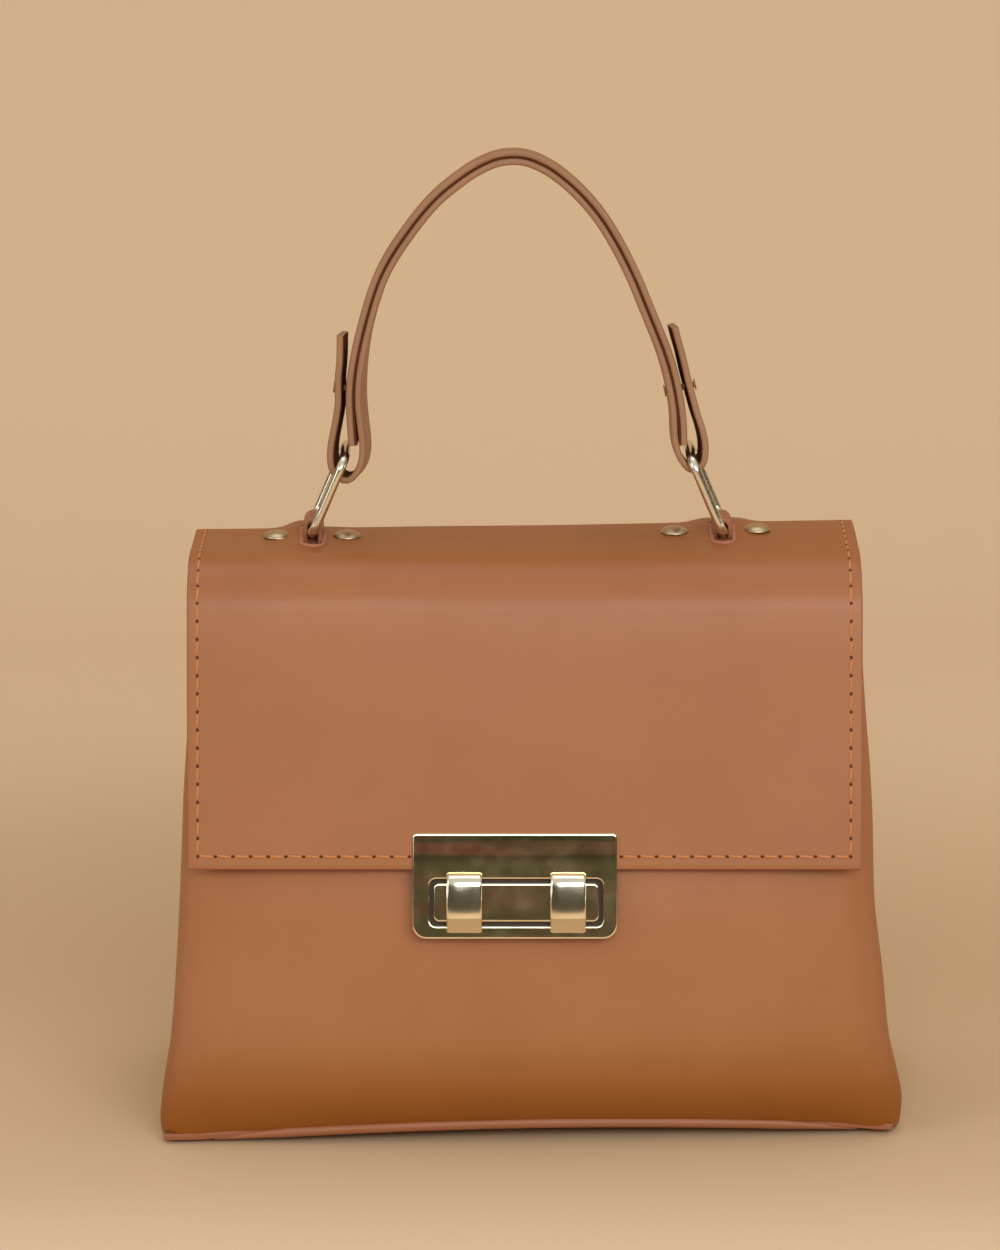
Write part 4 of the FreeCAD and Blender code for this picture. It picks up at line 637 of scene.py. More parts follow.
def stitch_mesh(name, spots):
    """Thread lengths, each with a pricked hole at its start, drawn as a flat dark disc of painted shade;
    spots are (start, end, normal) triples.
    """
    points, faces, slots = [], [], []
    ring = THREAD_SIDES
    for start, end, normal in spots:
        start, end, normal = (np.array(v, float) for v in (start, end, normal))
        along_run = end - start
        length = np.linalg.norm(along_run)
        along_run /= length
        side = np.cross(along_run, normal)
        base = len(points)
        for share, radius, sink in THREAD_SECTIONS:
            centre = start + along_run * length * share + normal * sink
            centre = centre + side * (share - 0.5) * THREAD_SLANT
            for k in range(ring):
                turn = 2 * math.pi * k / ring
                points.append(centre + side * radius * math.cos(turn)
                              + normal * radius * THREAD_FLAT * math.sin(turn))
        thread = band_faces(len(THREAD_SECTIONS), ring, base)
        end = base + (len(THREAD_SECTIONS) - 1) * ring
        thread += [tuple(base + k for k in range(ring))[::-1], tuple(end + k for k in range(ring))]
        base = len(points)
        for k in range(HOLE_SIDES):
            turn = 2 * math.pi * k / HOLE_SIDES
            points.append(start + along_run * HOLE_ALONG * math.cos(turn)
                          + side * HOLE_ACROSS * math.sin(turn) + normal * HOLE_LIFT)
        points.append(start + normal * HOLE_SUNK)
        hole = [(base + k, base + (k + 1) % HOLE_SIDES, base + HOLE_SIDES) for k in range(HOLE_SIDES)]
        faces += thread + hole
        slots += [0] * len(thread) + [1] * len(hole)
    return make_object(name, points, faces, [THREAD, HOLE_SHADE], SOFT_ANGLE, slots)


PITCH = 5.2
LEFT_LINE = -96.9
RIGHT_LINE = 94.7
LINE_INSET = 3.9
BOTTOM_RUN = STARTS[5] - LINE_INSET


def stitch_ends(low, high):
    marks = np.linspace(low, high, int(round((high - low) / PITCH)) + 1)
    return zip(marks, marks[1:])


def side_spots(x, low, high):
    return [(flap_at(x, b), flap_at(x, a), flap_normal((a + b) / 2)) for a, b in stitch_ends(low, high)]


def bottom_spots():
    run, normal = BOTTOM_RUN, flap_normal(BOTTOM_RUN)
    return [(flap_at(b, run), flap_at(a, run), normal) for a, b in stitch_ends(LEFT_LINE, RIGHT_LINE)]


back_spots = [s for x in (LEFT_LINE, RIGHT_LINE) for s in side_spots(x, LINE_INSET, SPLIT_RUN)]
front_spots = [s for x in (LEFT_LINE, RIGHT_LINE) for s in side_spots(x, SPLIT_RUN, BOTTOM_RUN)]
back_stitches = stitch_mesh("stitches_back", back_spots)
front_stitches = stitch_mesh("stitches_front", front_spots + bottom_spots())
blend_over(back_stitches, 1)
blend_over(front_stitches, 3)


# Body: puffy panels, tucked gussets, arched base and piping

DEPTH = table(((-4, 38.6), (2.5, 42.6), (8, 45.6), (14, 48.0), (20, 49.4), (30, 50.3), (40, 50.0), (50, 49.1),
               (70, 46.5), (90, 42.4), (110, 38.1), (130, 33.3), (150, 28.2), (163, 24.9)))
LEFT = table(((-4, 107.0), (1, 108.2), (4, 109.7), (6.6, 110.0), (13, 109.4), (23, 107.9), (31, 106.6),
              (50, 105.0), (75, 103.5), (91, 102.8), (103, 102.3), (116, 101.4), (129, 100.4), (145, 99.2),
              (163, 97.8)))
RIGHT = table(((-4, 109.0), (1.8, 110.8), (3.7, 112.2), (10.4, 112.6), (18, 111.2), (25, 109.5), (31, 108.2),
               (49.5, 106.2), (75, 103.2), (96, 102.6), (111, 101.7), (126, 100.4), (138, 99.5), (163, 97.8)))
CORNER = table(((0, 6.5), (12, 9.0), (40, 13.0), (90, 12.0), (130, 9.5), (163, 7.5)))
CROWN = table(((0, 3.0), (20, 4.2), (50, 5.0), (100, 3.6), (163, 1.5)))
BODY_TOP = 162.5
BODY_FOOT = 2.6
FOOT_ARCH = 4.4
FOOT_MIDDLE, FOOT_HALF = 8.0, 106.0
FOOT_YAW = 0.035
YAW_RISE, YAW_FADE = 70.0, 1.5
CORNER_SINK = 2.1
CORNER_FROM, CORNER_SPAN, CORNER_RISE = 92.0, 14.0, 14.0
TUCK_FOOT, TUCK_RISE, TUCK_HEIGHT = 1.5, 7.5, 162.0
LIFT_RISE, LIFT_FADE = 45.0, 1.6
FINE_TOP, FINE_ROWS = 30.0, 26
PANEL_ROWS, PAD_ROWS = 72, 40
BASE_LEFT, BASE_RIGHT, BASE_HALF_Y, BASE_LOW = -108.5, 109.5, 40.5, 1.2
BASE_FADE = 0.3
PANEL_THICK = 2.0
GUSSET_THICK = 1.6
FOAM_THICK = 1.2
FOAM_BEHIND = 2.3
PIPING_RADIUS = 1.65
PIPING_INSET = 0.6
PIPING_RUN = slice(9, -8)
PIPING_SIDES = 14
TAPER_SHARE, TAPER_STEPS, TAPER_DROP = 0.25, 7.0, 0.6
ARC_SHARE = 0.16
PANELS = (("front", True), ("back", False))


def foot_lift(x):
    """Height of the piping's underside above the floor."""
    return FOOT_ARCH * max(1 - (abs(x - FOOT_MIDDLE) / FOOT_HALF) ** 2.0, 0.0)


def corner_sink(x, z):
    """How far the panel's lower corners come down past the seam, to rest on the floor."""
    near = min(max((abs(x) - CORNER_FROM) / CORNER_SPAN, 0.0), 1.0)
    return CORNER_SINK * near ** 2 * (3 - 2 * near) * max(1 - (z - BODY_FOOT) / CORNER_RISE, 0.0) ** 2


def foot_yaw(x, z):
    """How far the foot of the body is turned about the vertical, given as a shift along y."""
    return FOOT_YAW * x * max(1 - z / YAW_RISE, 0) ** YAW_FADE


def panel_section(z, count=61):
    """Plan outline of the front panel at one height: from the left return, over the front, to the right."""
    left, right, depth = float(LEFT(z)), float(RIGHT(z)), float(DEPTH(z))
    radius, crown = float(CORNER(z)), float(CROWN(z))
    face = depth - crown
    points = []
    for t in np.linspace(-1, 1, count):
        half, sign = (left, -1) if t < 0 else (right, 1)
        a = abs(t)
        if a > 1 - ARC_SHARE:
            turn = (a - (1 - ARC_SHARE)) / ARC_SHARE * math.pi / 2
            x = half - radius + radius * math.sin(turn)
            y = -(face - radius + radius * math.cos(turn))
        else:
            u = a / (1 - ARC_SHARE)
            x = (half - radius) * u
            y = -face - crown * (1 - u ** 2.2)
        points.append((sign * x, y))
    return points


def panel_grid(front, rows):
    """Outside points of the front or back panel, from the top down."""
    grid = []
    coarse = rows - FINE_ROWS + 1
    heights = np.concatenate([np.linspace(BODY_FOOT, FINE_TOP, FINE_ROWS)[:-1],
                              np.linspace(FINE_TOP, BODY_TOP, coarse)])
    for z in heights[::-1]:
        row = []
        for x, y in panel_section(z):
            rise = foot_lift(x) * max(1 - (z - BODY_FOOT) / LIFT_RISE, 0) ** LIFT_FADE
            lifted = z + rise - corner_sink(x, z)
            row.append((x, (y if front else -y) + foot_yaw(x, z), lifted))
        grid.append(row if front else row[::-1])
    return np.array(grid)


for label, front in PANELS:
    body = sheet_solid("body_" + label, panel_grid(front, PANEL_ROWS), PANEL_THICK, BODY_LAYERS, bevel=0.4)
    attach(body, "bag")
    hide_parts(label + "_panel")

for label, front in PANELS:
    grid = panel_grid(front, PAD_ROWS)
    behind = grid - grid_normals(grid) * FOAM_BEHIND
    pad = sheet_solid("foam_" + label, behind[1:-1, 1:-1], FOAM_THICK, [FOAM] * 3, bevel=0)
    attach(pad, "bag")
    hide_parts(label + "_foam")


def gusset_grid(side):
    """Tucked side sheet between the two panels."""
    grid = []
    for z in np.linspace(BODY_TOP - 1.0, BODY_FOOT + 0.4, 50):
        half = float(RIGHT(z) if side > 0 else LEFT(z)) - 1.0
        edge = float(DEPTH(z) - CROWN(z) - CORNER(z))
        tuck = TUCK_FOOT + TUCK_RISE * (z / TUCK_HEIGHT) ** 1.1
        row = []
        for t in np.linspace(-1, 1, 31):
            x = half - tuck * math.cos(t * math.pi / 2) ** 1.3 - 0.2
            row.append((side * x, t * edge * side + foot_yaw(side * x, z), z))
        grid.append(row)
    return np.array(grid)


for label, side in SIDES:
    gusset = sheet_solid("gusset_" + label, gusset_grid(side), GUSSET_THICK, BODY_LAYERS, bevel=0.35)
    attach(gusset, "bag")
    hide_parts("side_gusset_" + label)


def piping_path(front):
    """Middle line of the cord in the lower seam."""
    points = []
    for x, y in panel_section(BODY_FOOT, 81):
        y = y + PIPING_INSET if y < 0 else y
        z = PIPING_RADIUS + foot_lift(x)
        x = x - math.copysign(PIPING_INSET, x)
        points.append((x, (y if front else -y) + foot_yaw(x, 0), z))
    return np.array(points)


for label, front in PANELS:
    path = piping_path(front)[PIPING_RUN]
    sections = []
    for k in range(len(path)):
        share = TAPER_SHARE + (1 - TAPER_SHARE) * min(k, len(path) - 1 - k) / TAPER_STEPS
        radius = PIPING_RADIUS * min(share, 1.0)
        sections.append(circle(radius, PIPING_SIDES))
        path[k][2] -= (PIPING_RADIUS - radius) * TAPER_DROP
    cord = sweep("piping_" + label, path, sections, [PIPING], (0, 0, 1))
    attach(cord, "bag")
    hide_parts("bottom_piping_" + label)

base_grid = [[(x, share * BASE_HALF_Y + foot_yaw(x, 0), BASE_LOW + foot_lift(x) * abs(share) ** BASE_FADE)
              for x in np.linspace(BASE_LEFT, BASE_RIGHT, 41)] for share in np.linspace(-1, 1, 25)]
base = sheet_solid("body_base", base_grid, PANEL_THICK, BODY_LAYERS, bevel=0.3)
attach(base, "bag")
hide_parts("bottom_panel", "base_board")


# Rings, ring tabs and rivets

RING_TOP = Vector((HARD_X, HARD_Y, PIVOT_Z + RING_REACH * math.cos(RING_LEAN)))
HANDLE_FRAME = (Matrix.Translation(RING_TOP) @ Matrix.Rotation(-LEAN, 4, "X")
                @ Matrix.Translation((0, 0, -RING_SEAT)))


def spread(points, step):
    """Closed run with extra points on its long straights."""
    out = []
    for a, b in zip(points, points[1:] + points[:1]):
        a, b = np.array(a), np.array(b)
        parts = max(int(np.linalg.norm(b - a) / step), 1)
        for k in range(parts):
            out.append(tuple(a + (b - a) * k / parts))
    return out


for label, side in SIDES:
    turn = (Matrix.Translation((HARD_X + side * TAB_HALF, HARD_Y, PIVOT_Z))
            @ Matrix.Rotation(-side * RING_LEAN, 4, "Y"))
    loop = rounded_box((RING_HALF, RING_REACH / 2), RING_CORNER, OUTLINE_STEPS, (0.0, RING_REACH / 2))
    path = [turn @ Vector((0.0, y, z)) for y, z in spread(loop, 3.0)]
    axis = turn.to_3x3() @ Vector((1, 0, 0))
    ring = sweep("wire_ring_" + label, path, circle(SHOWN_WIRE, 20), [BRASS_DARK], tuple(axis), closed=True)
    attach(ring, "ring_" + label)
    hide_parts("ring_" + label)

TAB_THICK = 1.5
TAB_WIDTH = 12.0
TAB_FOOT = FLAP_TOP - 2.3
TAB_END = 14.0
TAB_PLAY = 0.15
TAB_STRAIGHT = 3.3
TAB_KNEE = ((1.2, 0.0), (0.3, 0.5), (0.0, 1.7))
for label, centre in TAB_PLACES:
    radius = WIRE + TAB_PLAY + TAB_THICK / 2
    top = LOOP_TOP - TAB_THICK / 2 - radius
    bend = [(-TAB_END, 0.0)] + [(-radius - out, rise) for out, rise in TAB_KNEE]
    path = [(centre + x, HARD_Y, TAB_FOOT + z) for x, z in bend]
    path += [(centre - radius, HARD_Y, z) for z in np.linspace(TAB_FOOT + TAB_STRAIGHT, top, 5)]
    for k in range(1, 12):
        angle = math.pi * (1 - k / 12)
        path.append((centre + radius * math.cos(angle), HARD_Y, top + radius * math.sin(angle)))
    path += [(centre + radius, HARD_Y, z) for z in np.linspace(top, TAB_FOOT + TAB_STRAIGHT, 5)]
    path += [(centre - x, HARD_Y, TAB_FOOT + z) for x, z in bend[::-1]]
    section = rounded_box((TAB_THICK / 2, TAB_WIDTH / 2), 0.55)
    tab = sweep("ring_loop_" + label, path, section, [PIPING], (0, 1, 0))
    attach(tab, "flap_top")
    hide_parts("ring_tab_" + label)


PATCH_HALF_X = 3.2
PATCH_THICK = 0.5
PATCH_SUNK = 1.0
PATCH_FRONT, PATCH_BACK = SLOT_LOW_Y + 0.6, HARD_Y + 3.0
RIM_Z = 0.05
RIM_HALF_X = SLOT_HALF_X - 0.15
RIM_CORNER = 2.6
RIM_BACK = HARD_Y + 2.0
RIM_SECTION, RIM_ROUND = (0.75, 0.55), 0.5
for label, tab_x in TAB_PLACES:
    rows = [[flap_at(x, run_at_y(y), -PATCH_SUNK) for y in np.linspace(PATCH_FRONT, PATCH_BACK, 7)]
            for x in (tab_x - PATCH_HALF_X, tab_x + PATCH_HALF_X)]
    patch = sheet_solid("slot_patch_" + label, rows, PATCH_THICK, [PIPING] * 3, bevel=0.1)
    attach(patch, "flap_top")


for label, tab_x in TAB_PLACES:
    straight = np.linspace(RIM_BACK, SLOT_LOW_Y + RIM_CORNER, 7)
    plan = [(tab_x - RIM_HALF_X, y) for y in straight]
    for k in range(1, 13):
        turn = math.pi + math.pi * k / 12
        plan.append((tab_x + RIM_HALF_X * math.cos(turn), SLOT_LOW_Y + RIM_CORNER * (1 + math.sin(turn))))
    plan += [(tab_x + RIM_HALF_X, y) for y in straight[::-1][1:]]
    path = [flap_at(x, run_at_y(y), RIM_Z) for x, y in plan]
    rim = sweep("slot_rim_" + label, path, rounded_box(RIM_SECTION, RIM_ROUND), [RIM], (0, 0, 1))
    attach(rim, "flap_top")


CAP_X = (-74.85, -53.95, 44.05, 68.65)
CAP_LIFT = 0.05
CAP_PROFILE = [(0.01, 1.95), (0.8, 1.92), (1.6, 1.80), (2.4, 1.58), (3.1, 1.26), (3.7, 0.85), (4.05, 0.45),
               (4.15, 0.20), (4.05, 0.02), (3.6, -0.3), (0.01, -0.3)]
for number, x in enumerate(CAP_X):
    seat = Matrix.Translation(flap_at(x, run_at_y(HARD_Y), CAP_LIFT))
    cap = lathe("rivet_cap_%d" % number, CAP_PROFILE, seat, [CAP_BRASS], 48)
    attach(cap, "flap_top")
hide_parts("tab_rivets")


# Handle strap: runs in the handle's own plane, as shares of a half span and a rise

ARCH = [(-0.982, 0.204), (-0.992, 0.271), (-0.997, 0.339), (-0.985, 0.406), (-0.958, 0.473), (-0.923, 0.539),
        (-0.882, 0.604), (-0.831, 0.668), (-0.761, 0.728), (-0.678, 0.784), (-0.588, 0.838), (-0.488, 0.888),
        (-0.374, 0.931), (-0.250, 0.969), (-0.113, 0.995), (0.033, 0.997), (0.171, 0.973), (0.292, 0.934),
        (0.401, 0.887), (0.496, 0.835), (0.577, 0.778), (0.648, 0.719), (0.712, 0.658), (0.769, 0.595),
        (0.826, 0.532), (0.881, 0.469), (0.925, 0.405), (0.957, 0.339), (0.977, 0.272), (0.983, 0.204)]
WRAP_LEFT = [(0.953, 1.000), (0.954, 0.927), (0.957, 0.850), (0.964, 0.771), (0.965, 0.697), (0.966, 0.628),
             (0.975, 0.558), (0.989, 0.486), (1.003, 0.413), (1.009, 0.339), (0.999, 0.273), (0.966, 0.226),
             (0.921, 0.211), (0.879, 0.237), (0.849, 0.288), (0.835, 0.352), (0.836, 0.418), (0.843, 0.483),
             (0.851, 0.549)]
WRAP_RIGHT = [(0.841, 1.042), (0.857, 0.980), (0.877, 0.910), (0.894, 0.840), (0.910, 0.771), (0.928, 0.701),
              (0.947, 0.631), (0.967, 0.561), (0.989, 0.494), (1.004, 0.426), (1.007, 0.360), (0.995, 0.303),
              (0.962, 0.271), (0.922, 0.273), (0.888, 0.308), (0.862, 0.356), (0.847, 0.409), (0.840, 0.464),
              (0.838, 0.521), (0.835, 0.572)]
ARCH_HALF, ARCH_RISE = 48.8, 107.0
WRAP_HALF, WRAP_RISE = 55.2, 54.5
STRAP_WIDTH = 19.0
CORE_WIDTH = 17.2
LAYER_THICK = 1.95
CORE_THICK = 0.6
LAYER_GAP = 0.02
MIDDLE = CORE_THICK / 2 + LAYER_GAP + LAYER_THICK / 2
LAYERS = [STRAP, STRAP_EDGE, STRAP_BACK]
WRAP_POINTS = 260
ROUND_SHARE, ROUND_MOST = 0.42, 0.7
arch = np.array([(x * ARCH_HALF, 0.0, z * ARCH_RISE) for x, z in ARCH])


def sideways(points, distance):
    """Moves a run in the XZ plane to its left, as seen from the front."""
    run = np.gradient(points, axis=0)
    normal = np.stack([-run[:, 2], np.zeros(len(run)), run[:, 0]], axis=1)
    normal /= np.linalg.norm(normal, axis=1, keepdims=True)
    return points + normal * distance


def strap_faces(width, thick, radius, outer, inner, edge):
    """Section faces: one material on each broad side and one on the rounded edges."""
    section = rounded_box((thick / 2, width / 2), radius)
    out = []
    for (s0, u0), (s1, u1) in zip(section, section[1:] + section[:1]):
        if abs((u0 + u1) / 2) > width / 2 - radius - 0.02:
            out.append(edge)
        else:
            out.append(outer if s0 + s1 > 0 else inner)
    return out


def strap_piece(name, points, width, thick, materials, faces, twist=None, count=150):
    """Strap along points; twist gives how far the back edge stands to +X of the front edge at each."""
    path = [tuple(HANDLE_FRAME @ Vector(p)) for p in spline(points, count)]
    radius = min(thick * ROUND_SHARE, ROUND_MOST)
    turn = HANDLE_FRAME.to_3x3()
    shift = np.zeros(count) if twist is None else twist(np.linspace(0, 1, count))
    front = np.array([tuple(turn @ Vector((-k / 2, 0, 0))) for k in shift])
    ups = np.array([tuple(turn @ Vector((k / width, 1, 0))) for k in shift])
    path = np.array(path) - front
    piece = sweep(name, path, rounded_box((thick / 2, width / 2), radius), materials, ups,
                  slots=strap_faces(width, thick, radius, *faces))
    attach(piece, "handle")
    return piece


outer_strap = strap_piece("strap_outer", sideways(arch, MIDDLE), STRAP_WIDTH, LAYER_THICK, LAYERS, (0, 2, 1))
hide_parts("handle_outer_layer")
core_strap = strap_piece("strap_core", arch, CORE_WIDTH, CORE_THICK, [CORE], (0, 0, 0))
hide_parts("handle_core")
left_end = [(-x * WRAP_HALF, 0.0, z * WRAP_RISE) for x, z in WRAP_LEFT]
right_end = [(x * WRAP_HALF, 0.0, z * WRAP_RISE) for x, z in WRAP_RIGHT]
inner_run = np.array(left_end + [tuple(p) for p in sideways(arch, -MIDDLE)[2:-2]] + right_end[::-1])
wrap_twist = table(((0, 1.0), (0.14, 1.2), (0.22, 1.4), (0.30, 0.0), (0.74, 0.0), (0.82, 0.0), (0.9, -0.9),
                    (1.0, -0.9)))
inner_strap = strap_piece("strap_inner", spline(inner_run, WRAP_POINTS), STRAP_WIDTH, LAYER_THICK, LAYERS,
                          (2, 0, 1), wrap_twist, WRAP_POINTS)
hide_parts("handle_inner_layer")


# Lock

LOCK_DROP = 81.38
LOCK_HALF = (30.0, 15.5)
LOCK_THICK = 1.6
LOCK_CORNERS = (1.2, 1.2, 4.0, 4.0)
LOCK_BEVEL = 0.55
WINDOW_MIDDLE = (0.4, -4.8)
WINDOW_HALF = (25.5, 6.95)
WINDOW_PLAY = 1.3
WINDOW_CORNER, INLAY_CORNER = 2.0, 1.6
INLAY_LOW, INLAY_HIGH, INLAY_BEVEL = -0.55, 1.35, 0.5
BACK_BEVEL = 0.15
EDGE_STEPS = 3
PLATE_ANGLE = 28.0
FLAT_BAND = 0.12
LOCK_Y, LOCK_Z = flap_point(STARTS[4] + LOCK_DROP)[:2]
LOCK = Matrix.Translation((LOCK_X, LOCK_Y, LOCK_Z)) @ Matrix.Rotation(math.pi / 2 - TILT, 4, "X")


def inset(points, amount):
    """Moves a counter-clockwise outline inwards."""
    count = len(points)
    out = []
    for k in range(count):
        a, b = np.array(points[k - 1]), np.array(points[(k + 1) % count])
        run = b - a
        run /= np.linalg.norm(run)
        p = np.array(points[k])
        out.append(tuple(p + np.array((-run[1], run[0])) * amount))
    return out


def edge_loops(shape, width, drop, high):
    """Loops of a rounded edge, from the wall up to the face."""
    loops = []
    for k in range(EDGE_STEPS + 1):
        angle = math.pi / 2 * k / EDGE_STEPS
        loops.append((inset(shape, width * (1 - math.cos(angle))), high - drop * (1 - math.sin(angle))))
    return loops


def placed(loops, place):
    return [tuple(place @ Vector((x, y, height))) for loop, height in loops for x, y in loop]


def bevelled_plate(name, shape, low, high, width, place, materials):
    """Plate with a rounded front edge; its flat face has the first material."""
    loops = [(inset(shape, BACK_BEVEL), low), (shape, low + BACK_BEVEL)]
    loops += edge_loops(shape, width, width * 0.75, high)
    loops.append((inset(shape, width + FLAT_BAND), high))
    count = len(shape)
    faces = band_faces(len(loops), count)
    slots = [1] * (len(faces) - count) + [0] * count + [1, 0]
    last = (len(loops) - 1) * count
    faces += [tuple(range(count))[::-1], tuple(last + k for k in range(count))]
    return make_object(name, placed(loops, place), faces, materials, PLATE_ANGLE, slots)


def framed_plate(name, shape, window, low, high, width, place, materials):
    """Plate with a window; both have bevelled front edges. Shape and window share one count."""
    front = edge_loops(shape, width, width * 0.75, high)
    back = edge_loops(window, -width * 0.8, width * 0.6, high)[::-1]
    flat = [(inset(shape, width + FLAT_BAND), high), (inset(window, -width * 0.8 - FLAT_BAND), high)]
    loops = [(shape, low)] + front + flat + back + [(window, low), (shape, low)]
    slots = []
    for m in range(len(loops) - 1):
        on_face = len(front) <= m <= len(front) + len(flat)
        slots += [0 if on_face else 1] * len(shape)
    faces = band_faces(len(loops), len(shape))
    return make_object(name, placed(loops, place), faces, materials, PLATE_ANGLE, slots)


lock_shape = rounded_box(LOCK_HALF, LOCK_CORNERS, OUTLINE_STEPS)
window_shape = rounded_box(WINDOW_HALF, WINDOW_CORNER, OUTLINE_STEPS, WINDOW_MIDDLE)
lock = framed_plate("lock_face", lock_shape, window_shape, 0.0, LOCK_THICK, LOCK_BEVEL, LOCK, [PLATE, BRASS])
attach(lock, "flap_front")
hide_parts("lock_plate")
inlay_half = [half - WINDOW_PLAY for half in WINDOW_HALF]
inlay_shape = rounded_box(inlay_half, INLAY_CORNER, OUTLINE_STEPS, WINDOW_MIDDLE)
inlay = bevelled_plate("lock_insert", inlay_shape, INLAY_LOW, INLAY_HIGH, INLAY_BEVEL, LOCK, [PLATE, BRASS])
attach(inlay, "flap_front")
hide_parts("lock_inlay")

TOGGLE_SPREAD = 15.2
TOGGLE_HALF = 5.15
TOGGLE_BEVEL = 0.75
TOGGLE_FOOT, TOGGLE_FACE, TOGGLE_BACK = 1.9, 6.0, 4.6
TOGGLE_EDGE, TOGGLE_SHRINK = (0.22, -0.35), 0.55

# Each side of the strap: bend above the foot, flat counted from the face, and lower facet above the foot
OUTER_RUN = (((8.85, 0), (8.85, 0.9), (8.7, 1.9), (8.1, 2.9), (7.2, 3.6), (6.2, 3.95)),
             ((5.0, 0), (1.0, 0), (-4.15, 0), (-4.4, -0.06), (-4.6, -0.25)),
             ((-8.75, 0.6), (-8.85, 0.35), (-8.85, 0)))
INNER_RUN = (((7.5, 0), (7.5, 0.8), (7.3, 1.4), (6.9, 1.9), (6.3, 2.3), (5.7, 2.5)),
             ((5.0, 0), (1.0, 0), (-3.6, 0), (-3.7, 0), (-3.8, -0.05)),
             ((-7.3, 0.15), (-7.4, 0.1), (-7.5, 0)))
HUB_PROFILE = [(0.01, 4.8), (2.5, 4.8), (2.6, 4.7), (2.6, 1.5), (2.5, 1.4), (0.01, 1.4)]
SHAFT_PROFILE = [(0.01, 1.5), (1.5, 1.5), (1.5, -4.2), (1.0, -4.2), (1.0, -5.6), (0.01, -5.6)]


def toggle_outline(rows, face):
    levels = (TOGGLE_FOOT, face, TOGGLE_FOOT)
    return [(v, level + w) for level, part in zip(levels, rows) for v, w in part]


def toggle(label, side):
    """Folded metal strap: rounded top bend, flat front and a straight lower facet."""
    middle_x, middle_y = WINDOW_MIDDLE
    place = LOCK @ Matrix.Translation((middle_x + side * TOGGLE_SPREAD, middle_y, 0))
    outer = toggle_outline(OUTER_RUN, TOGGLE_FACE)
    inner = toggle_outline(INNER_RUN, TOGGLE_BACK)
    count = len(outer)
    ring = 2 * count
    half, bevel = TOGGLE_HALF, TOGGLE_BEVEL
    step, drop = TOGGLE_EDGE
    points = []
    for offset, grow in ((-half, -bevel), (-half + step, drop), (-half + bevel, 0.0), (half - bevel, 0.0),
                         (half - step, drop), (half, -bevel)):
        for k, (v, w) in enumerate(outer):
            before, after = outer[max(k - 1, 0)], outer[min(k + 1, count - 1)]
            run = np.array((after[0] - before[0], after[1] - before[1]))
            run = run / max(np.linalg.norm(run), 1e-6)
            shrink = grow * TOGGLE_SHRINK
            points.append(place @ Vector((offset, v + shrink * run[1], w - shrink * run[0])))
        points += [place @ Vector((offset, v, w)) for v, w in inner[::-1]]
    faces = band_faces(6, ring)
    for base in (0, 5 * ring):
        for k in range(count - 1):
            faces.append((base + k, base + k + 1, base + ring - 2 - k, base + ring - 1 - k))
    strap = make_object("turn_strap_" + label, points, faces, [BRASS], 25.0)
    hub = lathe("turn_hub_" + label, HUB_PROFILE, place, [BRASS], 32)
    shaft = lathe("turn_shaft_" + label, SHAFT_PROFILE, place, [STEEL], 32)
    for piece in (strap, hub, shaft):
        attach(piece, "toggle_" + label)
    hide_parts("toggle_" + label)


for label, side in SIDES:
    toggle(label, side)


# Materials of the CAD nodes, for those that are shown as they are

SLOT_MATERIALS = {"leather": PIPING, "handle_leather": STRAP, "lining_cloth": LINING,
                  "lining_leather": INSIDE, "foam": FOAM, "board": BOARD, "brass": BRASS, "steel": STEEL}
OWN_MATERIALS = {"handle_rivets": STRAP, "dring_left": BRASS_DARK, "dring_right": BRASS_DARK}
node_slots = {row["node"]: row["material_slot"] for row in frame["record"]["subparts"]}
for name, node in frame["nodes"].items():
    material = OWN_MATERIALS.get(name) or SLOT_MATERIALS[node_slots[name]]
    node.data.materials.clear()
    node.data.materials.append(material)
    for polygon in node.data.polygons:
        polygon.material_index = 0
    smooth_faces(node.data, PLATE_ANGLE)


# Floor, backdrop, light and camera

FLOOR_FRONT, FLOOR_END = -3.2, 0.55
SHEET_BEND, SHEET_TOP, SHEET_HALF = 0.5, 2.6, 3.0
# Painted shade on the floor: darkest from 0.06 m in front of the object to 0.12 m behind it.
SHEET_SHADE_TONES = ((-0.14, (222, 193, 160)), (-0.06, (206, 176, 140)), (0.12, (200, 169, 130)),
               (0.45, (219, 190, 153)))
SHEET_SHADE_FROM, SHEET_SHADE_TO = -0.14, 0.50


def stage_sheet():
    """Floor and backdrop in one bent sheet, in metres, with painted shade: one soft gradient from front to
    back, darker in a band under and just behind the object and lighter in front and toward the backdrop.
    """
    profile = [(FLOOR_FRONT, 0.0), (FLOOR_END, 0.0)]
    for k in range(1, 25):
        turn = math.pi / 2 * k / 24
        profile.append((FLOOR_END + SHEET_BEND * math.sin(turn), SHEET_BEND - SHEET_BEND * math.cos(turn)))
    profile.append((FLOOR_END + SHEET_BEND, SHEET_TOP))
    points = [(x, y, z) for y, z in profile for x in (-SHEET_HALF, SHEET_HALF)]
    faces = [(2 * k, 2 * k + 1, 2 * k + 3, 2 * k + 2) for k in range(len(profile) - 1)]
    material, tree, shader = principled("backdrop", srgb(208, 175, 138), 0.95, specular=0.05)
    span = SHEET_SHADE_TO - SHEET_SHADE_FROM
    ramp = color_ramp(tree, [((y - SHEET_SHADE_FROM) / span, srgb(*color)) for y, color in SHEET_SHADE_TONES])
    ramp.color_ramp.interpolation = "EASE"
    link(tree, object_level(tree, "Y", SHEET_SHADE_FROM, SHEET_SHADE_TO), "Result", ramp, "Fac")
    link(tree, ramp, "Color", shader, "Base Color")
    piece = make_object("backdrop", points, faces, [material], SOFT_ANGLE, in_metres=True)


stage_sheet()


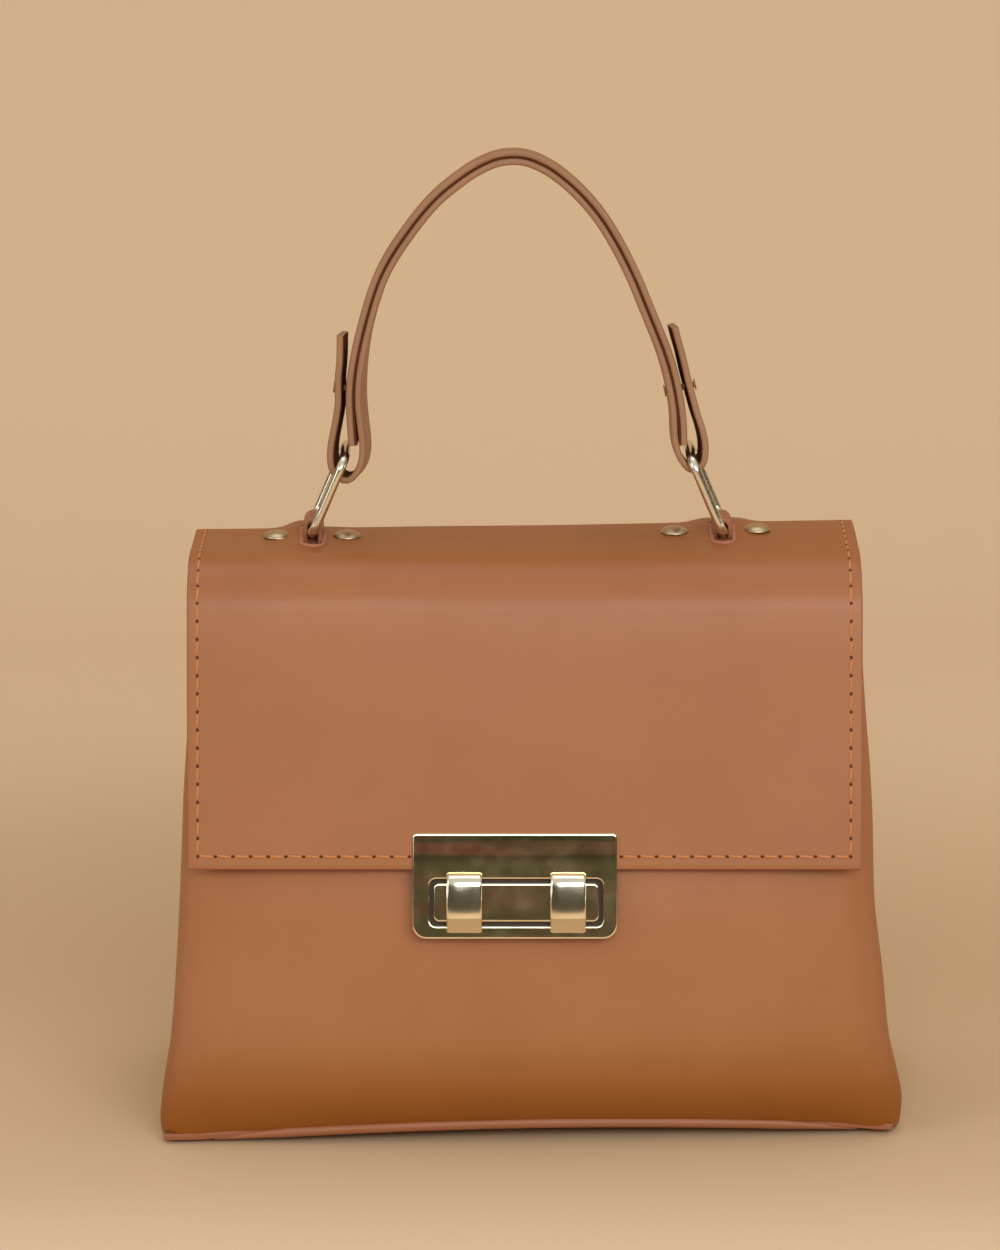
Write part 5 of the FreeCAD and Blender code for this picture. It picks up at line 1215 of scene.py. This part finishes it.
def area_light(name, place, target, width, height, power):
    data = bpy.data.lights.new(name, "AREA")
    data.shape = "RECTANGLE"
    data.size = width
    data.size_y = height
    data.energy = power
    lamp = add_object(name, data)
    lamp.location = place
    lamp.rotation_euler = (Vector(target) - Vector(place)).to_track_quat("-Z", "Y").to_euler()


area_light("key", (0.45, -1.85, 1.02), (0, 0, 0.12), 1.9, 0.62, 25.5)
area_light("edge_left", (-1.55, -0.08, 0.10), (0, -0.04, 0.10), 0.22, 0.5, 1.4)
area_light("edge_right", (1.55, -0.08, 0.10), (0, -0.04, 0.10), 0.22, 0.5, 1.4)
area_light("fill_left", (-1.7, -1.2, 0.9), (0, 0, 0.12), 0.9, 1.2, 7.0)
area_light("overhead", (0.0, 0.1, 1.9), (0, 0, 0.1), 1.4, 1.0, 5.0)

SKY_TONES = ((0.0, (0.10, 0.085, 0.06)), (1.0, (1.0, 1.0, 1.0)), (0.28, (0.11, 0.092, 0.06)),
             (0.42, (0.45, 0.43, 0.40)), (0.60, (0.95, 0.93, 0.90)))
SKY_STRENGTH = 0.7
world = bpy.data.worlds.new("studio")
scene.world = world
world.use_nodes = True
tree = world.node_tree
sky = tree.nodes["Background"]
coord = add_node(tree, "TexCoord")
split = add_node(tree, "SeparateXYZ")
ramp = color_ramp(tree, SKY_TONES)
link(tree, coord, "Generated", split, "Vector")
link(tree, split, "Z", ramp, "Fac")
link(tree, ramp, "Color", sky, "Color")
sky.inputs["Strength"].default_value = SKY_STRENGTH

CAMERA_LENS = 139.08
CAMERA_PLACE = (-0.0082, -1.4 + SHIFT_Y * MM, 0.5136)
CAMERA_DOWN = 14.61
CAMERA_REACH = 20.0
camera_data = bpy.data.cameras.new("camera")
camera_data.sensor_fit = "VERTICAL"
camera_data.sensor_height = 36.0
camera_data.lens = CAMERA_LENS
camera_data.clip_end = CAMERA_REACH
camera = add_object("camera", camera_data)
camera.location = CAMERA_PLACE
camera.rotation_euler = (math.radians(90 - CAMERA_DOWN), 0, 0)
scene.camera = camera
scene.view_settings.view_transform = "Standard"
